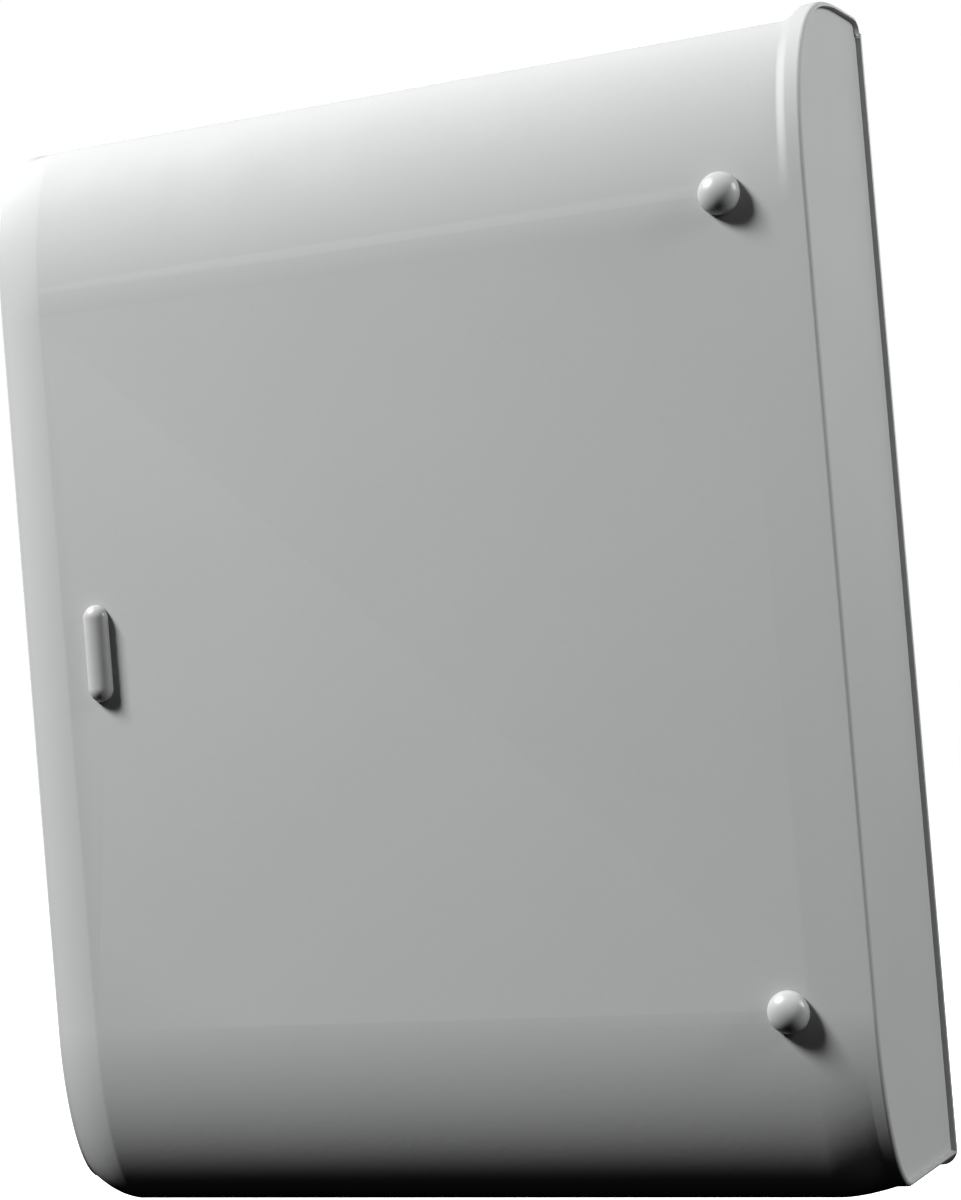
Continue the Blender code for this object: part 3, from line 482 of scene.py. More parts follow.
def side_outline(inset, end=0.0, foot=0.0):
    """Side outline of the housing as (y, z), from the top rear edge to the bottom one.

    End and foot are how much of the two ends' own shape the top and the bottom take.
    """
    sheet = bowed_corner(BEND_RISE, BEND_DEPTH, 2.0, inset)
    upper = (1 - end) * sheet + end * bowed_corner(END_RISE, END_DEPTH, END_SQUARE, inset,
                                                   REAR_ROUND)
    lower = (1 - foot) * sheet + foot * bowed_corner(FOOT_RISE, FOOT_DEPTH, 2.0, inset)
    return [(y, z) for y, z in upper] + [(y, -z) for y, z in lower[::-1]]


def eased(share):
    """A share between 0 and 1 that starts and ends slowly."""
    share = min(max(share, 0.0), 1.0)
    return share * share * (3 - 2 * share)


def tucked(from_end):
    """How much of the right end's shape the underside takes, this far from that end."""
    return min((TUCK - from_end) / (TUCK - FLARE[1]), 1.0) ** TUCK_POWER


def cover_sections():
    """Cross sections of the cover as (x, inset, end, foot), from left to right."""
    sections = []
    for step in range(LEFT_STEPS):
        angle = math.pi / 2 * step / LEFT_STEPS
        x = LEFT_X + LEFT_ROUND * (1 - math.cos(angle))
        sections.append((x, STRIP_DROP + LEFT_ROUND * (1 - math.sin(angle)), 1.0, 1.0))
    for step in range(STRIP_STEPS + 1):
        out = 1 - step / STRIP_STEPS
        x = LEFT_X + STRIP_WIDTH - out * (STRIP_WIDTH - LEFT_ROUND)
        slope = STRIP_START + (1 - STRIP_START) * out
        sections.append((x, STRIP_DROP * slope * out, out * out, out * out))
    for step in range(TUCK_STEPS):
        from_end = TUCK - (TUCK - FLARE[0]) * step / TUCK_STEPS
        sections.append((RIGHT_X - from_end, 0.0, 0.0, tucked(from_end)))
    for step in range(FLARE_STEPS + 1):
        from_end = FLARE[0] - (FLARE[0] - FLARE[1]) * step / FLARE_STEPS
        share = step / FLARE_STEPS
        sections.append((RIGHT_X - from_end, 0.0, eased(share), tucked(from_end)))
    for step in range(LIP_STEPS + 1):
        angle = math.pi / 2 * step / LIP_STEPS
        x = RIGHT_X - RIGHT_ROUND * (1 - math.sin(angle))
        sections.append((x, RIGHT_ROUND * (1 - math.cos(angle)), 1.0, 1.0))
    return sections


def make_cover():
    """The bowed sheet cover, with its holes and sound slots."""
    data = bmesh.new()
    rows = [[data.verts.new((x, y, z)) for y, z in side_outline(inset, end, foot)]
            for x, inset, end, foot in cover_sections()]
    for near, far in zip(rows, rows[1:]):
        for index in range(len(near) - 1):
            data.faces.new((near[index], far[index], far[index + 1], near[index + 1]))
    data.faces.new(rows[0])
    bmesh.ops.recalc_face_normals(data, faces=data.faces)
    front = min(data.faces, key=lambda face: face.calc_center_median().y)
    if front.normal.y > 0:
        bmesh.ops.reverse_faces(data, faces=data.faces)
    cover = add_object("cover_shell", data)
    shell = cover.modifiers.new("Sheet", "SOLIDIFY")
    shell.thickness = SHEET
    shell.offset = -1.0
    shell.use_even_offset = True

    tools = []
    for side in ("top", "bottom"):
        at = middle("cover_screw_" + side)
        profile = ((0.0, 0.01), (SCREW_HOLE_R, 0.01), (SCREW_HOLE_R, -0.01), (0.0, -0.01))
        tools.append(lathe("hole_" + side, profile, (at.x, FRONT_Y, at.z)))
    stem_low, stem_high = STEM
    tools.append(brick("guide_hole", (stem_low.x - GAP, FRONT_Y - 0.01, stem_low.z - GAP),
                       (stem_high.x + GAP, FRONT_Y + 0.01, stem_high.z + GAP), 0.0006))
    horn_x = middle("horn").x
    for index in range(SLOT_COUNT):
        x = horn_x + (index - (SLOT_COUNT - 1) / 2) * SLOT_PITCH
        data = bmesh.new()
        add_block(data, (x - SLOT_WIDTH / 2, SLOT_Y[0], -TOP_Z - 0.01),
                  (x + SLOT_WIDTH / 2, SLOT_Y[1], -TOP_Z + 0.01))
        upright = [edge for edge in data.edges
                   if abs(edge.verts[0].co.z - edge.verts[1].co.z) > 0.01]
        bmesh.ops.bevel(data, geom=upright, offset=SLOT_WIDTH * 0.49, segments=10, profile=0.5,
                        affect="EDGES")
        tools.append(add_object(f"slot_{index + 1}", data))
    carve(cover, tools)
    soften(cover, EDGE)
    place_piece(cover, "cover_paint", "cover", stands_for=["front_cover"])


def make_end_panel():
    """The flat panel set back inside the lip at the right end."""
    data = bmesh.new()
    x = RIGHT_X - END_RECESS
    outline = side_outline(SHEET - EDGE, 1.0, 1.0)
    face = data.faces.new([data.verts.new((x, y, z)) for y, z in outline])
    face.normal_update()
    if face.normal.x < 0:
        face.normal_flip()
    panel = add_object("end_panel", data)
    shell = panel.modifiers.new("Sheet", "SOLIDIFY")
    shell.thickness = END_PANEL
    shell.offset = -1.0
    soften(panel, 0.0002)
    place_piece(panel, "cover_paint", "cover", stands_for=["right_end_panel"])


def make_light_guide():
    """The raised pill on the front and the stem behind it that carries the light out."""
    around, rows = 72, 14
    seat_y = FRONT_Y - GAP
    rise = seat_y - GUIDE_LOW.y
    radius = PILL.x / 2
    straight = (PILL.z - PILL.x) / 2
    data = bmesh.new()
    rings = []
    for row in range(rows):
        lift = math.pi / 2 * row / rows
        ring = []
        for index in range(around):
            angle = 2 * math.pi * (index + 0.5) / around
            end = math.copysign(straight, math.sin(angle))
            ring.append(data.verts.new((PILL_MIDDLE.x + radius * math.cos(lift) * math.cos(angle),
                                        seat_y - rise * math.sin(lift),
                                        PILL_MIDDLE.z + end
                                        + radius * math.cos(lift) * math.sin(angle))))
        rings.append(ring)
    for low, high in zip(rings, rings[1:]):
        for index in range(around):
            on = (index + 1) % around
            data.faces.new((low[index], low[on], high[on], high[index]))
    half = around // 2
    crest = [data.verts.new((PILL_MIDDLE.x, seat_y - rise, PILL_MIDDLE.z + side * straight))
             for side in (1, -1)]
    last = rings[-1]
    for index in range(around):
        on = (index + 1) % around
        first, second = (crest[0 if place < half else 1] for place in (index, on))
        data.faces.new(list(dict.fromkeys((last[index], last[on], second, first))))
    data.faces.new(rings[0])
    bmesh.ops.recalc_face_normals(data, faces=data.faces)
    pill = add_object("light_guide_pill", data, sharp=50.0)
    place_piece(pill, "grey_plastic", "cover", stands_for=["status_light_guide"])
    stem = brick("light_guide_stem", STEM[0], STEM[1], 0.0004)
    place_piece(stem, "grey_plastic", "cover")


def dome_profile(radius, height, steps=20, crown=0.0):
    """A dome from its top to its rim."""
    return [(radius * math.sin(math.pi / 2 * step / steps),
             height * math.cos(math.pi / 2 * step / steps) + crown) for step in range(steps + 1)]


def thread_profile(radius, start, end, pitch=0.0007):
    """V grooves down a shank, from one height to a lower one."""
    outline = []
    for turn in range(int((start - end) / pitch)):
        top = start - turn * pitch
        outline += [(radius, top), (radius, top - 0.3 * pitch),
                    (radius - 0.5 * pitch, top - 0.65 * pitch)]
    return outline + [(radius, end + 0.1 * pitch)]


def make_cover_screw(side):
    """A smooth domed screw with a threaded tip, and the washer that keeps it in the cover."""
    node = "cover_screw_" + side
    low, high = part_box(node)
    head_y = FRONT_Y - GAP
    radius = (high.x - low.x) / 2
    length = high.y - head_y
    profile = dome_profile(radius, head_y - low.y - 0.0003, crown=0.0003)
    profile += [(radius, 0.0002), (radius - 0.0002, 0.0), (SHANK_R, 0.0)]
    profile += thread_profile(SHANK_R, 0.018 - length, 0.001 - length)
    profile += [(SHANK_R * 0.6, -length), (0.0, -length)]
    screw = lathe(node + "_turned", profile, (middle(node).x, head_y, middle(node).z), sharp=50.0)
    place_piece(screw, "screw_finish", side + "_screw", stands_for=[node])

    node = "captive_washer_" + side
    (outer, depth), inner = turned_size(node), SHANK_R + GAP
    ring = rounded([(inner, depth / 2), (inner, depth), (outer, depth), (outer, 0.0), (inner, 0.0),
                    (inner, depth / 2)], 0.0003)
    washer = lathe(node + "_turned", ring[:-1], rear_of(node), closed=True)
    place_piece(washer, "nylon", "cover", stands_for=[node])


# ---------------------------------------------------------------- sheet metal and fixings

def make_back_plate():
    """The back plate, its rear edge rolled over towards the wall."""
    data = whole_faces("back_plate")

    def in_corner(vert):
        return abs(vert.co.x - plate_high.x) < GAP and abs(vert.co.z - plate_low.z) < GAP

    def on_rim(vert):
        x, y, z = vert.co
        at_side = min(x - plate_low.x, plate_high.x - x) < PLATE_RIM
        at_end = min(z - plate_low.z, plate_high.z - z) < PLATE_RIM
        return abs(y - plate_high.y) < GAP and (at_side or at_end)

    corner = [edge for edge in data.edges if all(in_corner(vert) for vert in edge.verts)]
    bmesh.ops.bevel(data, geom=corner, offset=PLATE_CORNER, segments=8, profile=0.5, affect="EDGES")
    rear = [edge for edge in data.edges
            if all(on_rim(vert) for vert in edge.verts) and edge.calc_face_angle(0.0) > RIM_ANGLE]
    bmesh.ops.bevel(data, geom=rear, offset=PLATE_ROUND, segments=8, profile=0.5, affect="EDGES")
    plate = soften(add_object("back_plate_fine", data), 0.0002)
    place_piece(plate, "plate_paint", stands_for=["back_plate"])


def make_sheet_metal():
    """The hinges, brackets and strap: CAD shapes with their edges rounded."""
    for side in ("upper", "lower"):
        bracket, tab, pin = ("hinge_" + kind + "_" + side for kind in ("bracket", "tab", "pin"))
        place_piece(refined(bracket, 0.0002), "bracket_steel", stands_for=[bracket])
        place_piece(refined(tab, 0.0002), "bracket_steel", "cover", stands_for=[tab])
        low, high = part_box(pin)
        radius, half = (high.x - low.x) / 2, (high.z - low.z) / 2
        profile = rounded([(0.0, half), (radius, half), (radius, -half), (0.0, -half)], 0.0003)
        place_piece(lathe(pin + "_turned", profile, middle(pin), UPWARD, 32), "bracket_steel",
                    stands_for=[pin])
    for node in ("horn_bracket", "battery_tray", "battery_strap"):
        place_piece(refined(node, 0.00025), "bracket_steel", stands_for=[node])
    for node in ("screw_post_top", "screw_post_bottom"):
        (radius, length), bore = turned_size(node), SCREW_HOLE_R
        profile = [(0.0, 0.0017), (bore, 0.0017), (bore, length - 0.0004), (bore + 0.0005, length),
                   (radius - 0.0005, length), (radius, length - 0.0005), (radius, 0.0006),
                   (radius - 0.0003, 0.0), (0.0, 0.0)]
        post = lathe(node + "_turned", profile, rear_of(node), sides=72)
        place_piece(post, "bright_steel", stands_for=[node])


def pan_head_mesh(radius, head, shank, length):
    """A cross-recessed pan head on a threaded shank, its seat at height zero."""
    profile = [(0.0, head), (radius * 0.45, head * 0.97), (radius * 0.75, head * 0.84),
               (radius * 0.93, head * 0.55), (radius, head * 0.2), (radius, 0.0), (shank, 0.0)]
    profile += thread_profile(shank, -0.0004, 0.0006 - length, 0.0005)
    profile += [(shank * 0.7, -length), (0.0, -length)]
    screw = add_object("screw_blank", lathe_mesh(profile, 40), sharp=50.0)
    tools = []
    for name, size in (("recess_a", (0.0028, 0.0006)), ("recess_b", (0.0006, 0.0028))):
        half_x, half_y = size[0] / 2, size[1] / 2
        tools.append(brick(name, (-half_x, -half_y, head * 0.35), (half_x, half_y, head * 1.5),
                           0.0001, 1))
    carve(screw, tools)
    mesh = screw.data
    mesh.shade_smooth()
    mesh.set_sharp_from_angle(angle=math.radians(40))
    bpy.data.objects.remove(screw)
    return mesh


def make_small_screws():
    """Pan-head screws that hold the board, the brackets, the tray and the strap."""
    meshes = {}
    names = [f"board_screw_{n}" for n in (1, 2, 3, 4)] + ["bracket_screw_1", "bracket_screw_2",
                                                        "tray_screw_1", "tray_screw_2",
                                                          "strap_screw"]
    for turn, node in enumerate(names):
        low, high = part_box(node)
        depth = round(high.y - low.y, 5)
        head, radius = 0.0018, (high.x - low.x) / 2
        if depth not in meshes:
            meshes[depth] = pan_head_mesh(radius, head, 0.0013, depth - head)
        screw = bpy.data.objects.new(node + "_turned", meshes[depth])
        bpy.context.scene.collection.objects.link(screw)
        at = Vector((middle(node).x, low.y + head, middle(node).z))
        screw.matrix_world = Matrix.Translation(at) @ FRONTWARD @ Matrix.Rotation(0.7 * turn, 4,
                                                                                  "Z")
        place_piece(screw, "bright_steel", stands_for=[node])


# ---------------------------------------------------------------- the circuit board

FREE_AREAS = ((-0.090, -0.068, 0.034, 0.066), (-0.038, -0.013, 0.016, 0.027),
              (-0.089, -0.081, -0.008, 0.028), (-0.062, -0.036, -0.008, 0.006))


def make_board_pieces():
    """The board, its copper, its printed outlines and its small parts."""
    place_piece(refined("circuit_board", 0.00015), "board_green", stands_for=["circuit_board"])
    face = board_low.y
    chance = random.Random(11)
    copper, silk, ends, bodies = bmesh.new(), bmesh.new(), bmesh.new(), bmesh.new()
    width, step = 0.00035, 0.00127
    for _ in range(90):
        x = chance.uniform(board_low.x + 0.004, board_high.x - 0.004)
        z = chance.uniform(board_low.z + 0.004, board_high.z - 0.004)
        for leg in range(chance.randint(2, 4)):
            reach = step * chance.randint(3, 14) * chance.choice((-1, 1))
            far_x = x + (reach if leg % 2 else 0.0)
            far_z = z + (0.0 if leg % 2 else reach)
            far_x = min(max(far_x, board_low.x + 0.002), board_high.x - 0.002)
            far_z = min(max(far_z, board_low.z + 0.002), board_high.z - 0.002)
            add_block(copper,
                      (min(x, far_x) - width / 2, face - 0.00005, min(z, far_z) - width / 2),
                      (max(x, far_x) + width / 2, face + 0.0002, max(z, far_z) + width / 2))
            x, z = far_x, far_z
    outlined = ["relay", "control_chip", "capacitor_1", "capacitor_2", "boost_coil",
                "terminal_block",
                "tamper_switch", "status_led"]
    for node in outlined:
        low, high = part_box(node)
        margin, line = 0.0009, 0.00025
        for z in (low.z - margin, high.z + margin):
            add_block(silk, (low.x - margin, face - 0.00007, z - line / 2),
                      (high.x + margin, face + 0.0001, z + line / 2))
        for x in (low.x - margin, high.x + margin):
            add_block(silk, (x - line / 2, face - 0.00007, low.z - margin),
                      (x + line / 2, face + 0.0001, high.z + margin))
    for x0, x1, z0, z1 in FREE_AREAS:
        for column in range(int((x1 - x0) / 0.0042) + 1):
            for row in range(int((z1 - z0) / 0.0032) + 1):
                if chance.random() < 0.28:
                    continue
                x, z = x0 + 0.0042 * column, z0 + 0.0032 * row
                height = chance.choice((0.0005, 0.0008))
                add_block(bodies, (x - 0.0006, face - height, z - 0.00042),
                          (x + 0.0006, face + 0.0001, z + 0.00042))
                for side in (-1, 1):
                    add_block(ends,
                              (x + side * 0.00078 - 0.00022, face - height - 0.00002, z - 0.00044),
                              (x + side * 0.00078 + 0.00022, face + 0.0001, z + 0.00044))
    place_piece(add_object("board_copper", copper), TRACE)
    place_piece(add_object("board_outlines", silk), SILK)
    place_piece(soften(add_object("chip_parts", bodies), 0.00006, 1), CERAMIC)
    place_piece(soften(add_object("chip_part_ends", ends), 0.00006, 1), TINNED)


def make_standoffs():
    """Hexagonal spacers under the board's corners."""
    for index in (1, 2, 3, 4):
        node = f"board_standoff_{index}"
        radius, length = turned_size(node)
        hexagon = [(0.0, 0.0039), (0.0016, 0.0039), (0.0016, length), (radius * 0.88, length),
                   (radius, length - 0.0004), (radius, 0.0004), (radius * 0.88, 0.0), (0.0, 0.0)]
        spacer = lathe(node + "_hex", hexagon, rear_of(node), sides=6, sharp=25.0)
        place_piece(spacer, "standoff_brass", stands_for=[node])


def make_chip():
    """The control chip with a row of bent legs on each side."""
    low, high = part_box("control_chip")
    centre = (low + high) / 2
    inset, count = 0.0011, 10
    body = brick("control_chip_body", (low.x + inset, low.y, low.z + inset),
                 (high.x - inset, high.y - 0.0002, high.z - inset), 0.00015, 2)
    place_piece(body, "black_plastic", stands_for=["control_chip"])
    legs = bmesh.new()
    pitch = (high.x - low.x - 3.2 * inset) / (count - 1)
    for index in range(count):
        offset = (index - (count - 1) / 2) * pitch
        for side in (-1, 1):
            reach = (high.x - low.x) / 2
            for across in (True, False):
                inner, outer = side * (reach - inset), side * reach
                foot = side * (reach - 0.6 * inset)
                for start, end, top in ((inner, foot, 0.0009), (foot, outer, 0.0)):
                    a, b = min(start, end), max(start, end)
                    y0, y1 = high.y - top - 0.00015, high.y - top + 0.0001
                    half = pitch * 0.22
                    if across:
                        add_block(legs, (centre.x + a, y0, centre.z + offset - half),
                                  (centre.x + b, y1, centre.z + offset + half))
                    else:
                        add_block(legs, (centre.x + offset - half, y0, centre.z + a),
                                  (centre.x + offset + half, y1, centre.z + b))
    place_piece(add_object("control_chip_legs", legs), TINNED)


def make_relay():
    """The relay: a moulded case on a darker base, with two ribs on its lid."""
    low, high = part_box("relay")
    base = brick("relay_base", (low.x, high.y - 0.0022, low.z), high, 0.0003)
    place_piece(base, "black_plastic")
    case = brick("relay_case", (low.x + 0.0003, low.y, low.z + 0.0003),
                 (high.x - 0.0003, high.y - 0.0020, high.z - 0.0003), 0.0008)
    tools = []
    for index, x in enumerate((low.x + 0.0045, high.x - 0.0045)):
        tools.append(brick(f"relay_groove_{index}", (x - 0.0003, low.y - 0.001, low.z + 0.0025),
                           (x + 0.0003, low.y + 0.0003, high.z - 0.0025), 0.0001, 1))
    carve(case, tools)
    soften(case, 0.0001, 1)
    place_piece(case, "relay_blue", stands_for=["relay"])


def make_capacitors():
    """Can capacitors: a shrunk sleeve round an aluminium can with a scored top."""
    for index in (1, 2):
        node = f"capacitor_{index}"
        radius, tall = turned_size(node)
        at, front_y = rear_of(node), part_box(node)[0].y
        sleeve = rounded([(radius * 0.8, tall - 0.0004), (radius * 0.84, tall - 0.0002),
                          (radius, tall - 0.0004), (radius, 0.0026), (radius * 0.93, 0.0020),
                          (radius, 0.0014), (radius, 0.0002), (0.0, 0.0)], 0.0004)
        sleeve = [(0.0, tall - 0.0006), (radius * 0.8, tall - 0.0006)] + sleeve
        place_piece(lathe(node + "_sleeve", sleeve, at, sides=56, sharp=50.0), "capacitor_sleeve",
                    stands_for=[node])
        top = lathe(node + "_top", [(0.0, tall - 0.0001), (radius * 0.76, tall - 0.0001),
                                    (radius * 0.79, tall - 0.0004), (radius * 0.79, tall - 0.0012),
                                    (0.0, tall - 0.0012)], at, sides=56)
        tools = []
        for kind, half in (("a", (0.62 * radius, 0.00012)), ("b", (0.00012, 0.62 * radius))):
            tools.append(brick(f"score_{kind}_{index}",
                               (at.x - half[0], front_y - 0.001, at.z - half[1]),
                               (at.x + half[0], front_y + 0.00035, at.z + half[1]), 0.00002, 1))
        carve(top, tools)
        place_piece(top, ALUMINIUM)


def make_coil():
    """The boost coil: a ferrite bobbin with a winding of enamelled wire."""
    (radius, tall), at = turned_size("boost_coil"), rear_of("boost_coil")
    flange, waist, wire = 0.0015, radius * 0.66, 0.0003
    outline = rounded([(0.0, tall), (radius, tall), (radius, tall - flange), (waist, tall - flange),
                       (waist, flange), (radius, flange), (radius, 0.0), (0.0, 0.0)], 0.0003)
    place_piece(lathe("boost_coil_bobbin", outline, at), FERRITE,
                stands_for=["boost_coil"])
    turns = int((tall - 2 * flange) / (2.05 * wire))
    points = []
    for index in range(turns * 24 + 1):
        angle = 2 * math.pi * index / 24
        height = flange + wire + (tall - 2 * flange - 2 * wire) * index / (turns * 24)
        points.append(at + Vector(((radius - 0.0006) * math.cos(angle), -height,
                                   (radius - 0.0006) * math.sin(angle))))
    place_piece(tube("boost_coil_winding", points, wire, 2), "coil_copper")


def make_led():
    """The status LED: a domed lens on a flange."""
    flange_r, tall = turned_size("status_led")
    radius = flange_r * 0.81
    profile = dome_profile(radius, radius * 0.95, 12, crown=tall - radius * 0.95)
    profile += [(radius, 0.0009), (flange_r, 0.0008), (flange_r, 0.0), (0.0, 0.0)]
    lens = lathe("status_led_lens", profile, rear_of("status_led"), sides=48)
    place_piece(lens, "led_red", stands_for=["status_led"])


def make_terminals():
    """The terminal block with a slotted screw and a clamp in each way."""
    place_piece(refined("terminal_block", 0.0002), "terminal_green", stands_for=["terminal_block"])
    low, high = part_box("terminal_block")
    ways = 5
    pitch = (high.x - low.x) / ways
    clamps = bmesh.new()
    for index in range(ways):
        x, z = low.x + pitch * (index + 0.5), (low.z + high.z) / 2
        head = rounded([(0.0, 0.0012), (0.0021, 0.0012), (0.0021, 0.0), (0.0, 0.0)], 0.0003)
        screw = lathe(f"terminal_screw_{index + 1}", head, (x, low.y + 0.0029, z), sides=40)
        slit = brick("slit", (x - 0.003, low.y + 0.001, z - 0.0003),
                     (x + 0.003, low.y + 0.0023, z + 0.0003),
                     0.00005, 1)
        turn = (Matrix.Translation((x, 0, z)) @ Matrix.Rotation(0.5 + index, 4, "Y")
                @ Matrix.Translation((-x, 0, -z)))
        slit.data.transform(turn)
        carve(screw, [slit])
        place_piece(screw, "bright_steel")
        for edge in (low.z, high.z):
            side = 1 if edge == high.z else -1
            deep = edge - side * 0.0028
            add_block(clamps, (x - 0.002, low.y + 0.0048, min(deep, deep - side * 0.0004)),
                      (x + 0.002, high.y - 0.0018, max(deep, deep - side * 0.0004)))
    place_piece(soften(add_object("terminal_clamps", clamps), 0.0001, 1), TINNED)


def make_tamper():
    """The tamper switch and its plunger."""
    place_piece(refined("tamper_switch", 0.0003), "black_plastic", stands_for=["tamper_switch"])
    low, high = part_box("tamper_switch")
    radius, length = turned_size("tamper_plunger")
    profile = dome_profile(radius, radius * 0.8, 12, crown=length - radius * 0.8)
    for ring in range(3):
        top = length - 0.006 - 0.0012 * ring
        profile += [(radius, top), (radius * 0.86, top - 0.0002), (radius * 0.86, top - 0.0006),
                    (radius, top - 0.0008)]
    profile += [(radius, 0.0003), (radius - 0.0003, 0.0), (0.0, 0.0)]
    plunger = lathe("tamper_plunger_turned", profile, rear_of("tamper_plunger"), sides=48)
    place_piece(plunger, "nylon", "tamper", stands_for=["tamper_plunger"])
    pins = bmesh.new()
    for x in (low.x + 0.002, high.x - 0.002):
        add_block(pins, (x - 0.0005, high.y - 0.0001, low.z - 0.0012),
                  (x + 0.0005, high.y + 0.0002, low.z))
    place_piece(soften(add_object("tamper_pads", pins), 0.00006, 1), TINNED)


def make_header():
    """A pin header for commissioning, beside the free corner of the board."""
    face = board_low.y
    base, pins = bmesh.new(), bmesh.new()
    for column in range(6):
        for row in range(2):
            x, z = -0.062 + 0.00254 * column, 0.0675 + 0.00254 * row
            add_block(base, (x - 0.00122, face - 0.0024, z - 0.00122),
                      (x + 0.00122, face + 0.0001, z + 0.00122))
            add_block(pins, (x - 0.0003, face - 0.0075, z - 0.0003),
                      (x + 0.0003, face + 0.0001, z + 0.0003))
    place_piece(soften(add_object("header_base", base), 0.0003, 1), "black_plastic")
    place_piece(soften(add_object("header_pins", pins), 0.0001, 1), GOLD)


# ---------------------------------------------------------------- sounder and battery

def make_sounder():
    """The flared horn and the driver above it."""
    low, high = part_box("horn")
    mouth, wall = (high.x - low.x) / 2, 0.002
    throat, steps = 0.007, 40
    length = high.z - low.z
    inside = []
    for step in range(steps + 1):
        share = step / steps
        inside.append((throat * ((mouth - wall) / throat) ** share, -length * share))
    outside = [(radius + wall, height) for radius, height in inside]
    outline = rounded(outside + inside[::-1], 0.0006, 2)
    centre = middle("horn")
    horn = lathe("horn_flare", outline, (centre.x, centre.y, high.z), UPWARD, 96, closed=True)
    place_piece(horn, "black_plastic", stands_for=["horn"])

    low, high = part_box("horn_driver")
    radius, tall = (high.x - low.x) / 2, high.z - low.z
    profile = [(0.0, tall), (radius * 0.35, tall), (radius * 0.36, tall - 0.0008),
               (radius * 0.42, tall - 0.0008), (radius * 0.43, tall), (radius - 0.002, tall),
               (radius, tall - 0.002)]
    for groove in range(3):
        top = tall - 0.0045 - 0.0036 * groove
        profile += [(radius, top), (radius - 0.0015, top - 0.0003), (radius - 0.0015, top - 0.0017),
                    (radius, top - 0.0020)]
    profile += [(radius, 0.0060), (0.0105, 0.0040), (0.0100, 0.0034), (0.0100, 0.0), (0.0, 0.0)]
    centre = middle("horn_driver")
    driver = lathe("horn_driver_turned", rounded(profile, 0.0003, 2), (centre.x, centre.y, low.z),
                   UPWARD, 96)
    place_piece(driver, "black_plastic", stands_for=["horn_driver"])


def make_battery():
    """The sealed battery: case, lid, label and its two blade terminals."""
    low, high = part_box("battery")
    seam = high.z - 0.0088
    inset = Vector((0.0005, 0.0005, 0.0))
    case = brick("battery_case", low + inset, (high.x - inset.x, high.y - inset.y, seam - 0.0002),
                 0.0012, 4)
    place_piece(case, "black_plastic", stands_for=["battery"])
    lid = brick("battery_lid", (low.x, low.y, seam), high, 0.0010, 4)
    tools = []
    for index in range(6):
        x = low.x + (high.x - low.x) * (index + 0.5) / 6
        ring = [(0.0032, 0.001), (0.0038, 0.001), (0.0038, -0.0005), (0.0032, -0.0005)]
        tools.append(lathe(f"vent_{index}", ring, (x, low.y + 0.030, high.z), UPWARD, 40,
                           closed=True))
    carve(lid, tools)
    soften(lid, 0.00015, 1, 45.0)
    place_piece(lid, "black_plastic")
    neck = brick("battery_neck", (low.x + 0.0014, low.y + 0.0014, seam - 0.002),
                 (high.x - 0.0014, high.y - 0.0014, seam + 0.002), 0.0008, 2)
    place_piece(neck, "black_plastic")
    strap_low, strap_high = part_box("battery_strap")
    for name, x0, x1 in (("left", low.x + 0.006, strap_low.x - 0.004),
                         ("right", strap_high.x + 0.004, high.x - 0.006)):
        label = brick("battery_label_" + name, (x0, low.y + 0.0004, low.z + 0.010),
                      (x1, low.y + 0.0007, seam - 0.006), 0.0001, 1)
        place_piece(label, LABEL)
    for sign, colour in (("plus", "lead_red"), ("minus", "lead_black")):
        node = "battery_tab_" + sign
        place_piece(refined(node, 0.00015), "bright_steel", stands_for=[node])
        tab_low, tab_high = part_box(node)
        sleeve = brick("spade_cover_" + sign,
                       (tab_low.x - 0.0009, tab_low.y - 0.0014, tab_low.z + 0.0022),
                       (tab_high.x + 0.0009, tab_high.y + 0.0014, tab_high.z + 0.0004), 0.0008, 3)
        place_piece(sleeve, colour)


# ---------------------------------------------------------------- leads and grommet

def smooth_route(points, steps):
    """Points along a smooth curve through the given ones."""
    route = [Vector(point) for point in points]
    route = [2 * route[0] - route[1]] + route + [2 * route[-1] - route[-2]]
    path = []
    for index in range(1, len(route) - 2):
        before, start, end, after = route[index - 1:index + 3]
        for step in range(steps):
            t = step / steps
            path.append(0.5 * (2 * start + (end - before) * t
                               + (2 * before - 5 * start + 4 * end - after) * t ** 2
                               + (3 * start - before - 3 * end + after) * t ** 3))
    path.append(route[-2])
    return path


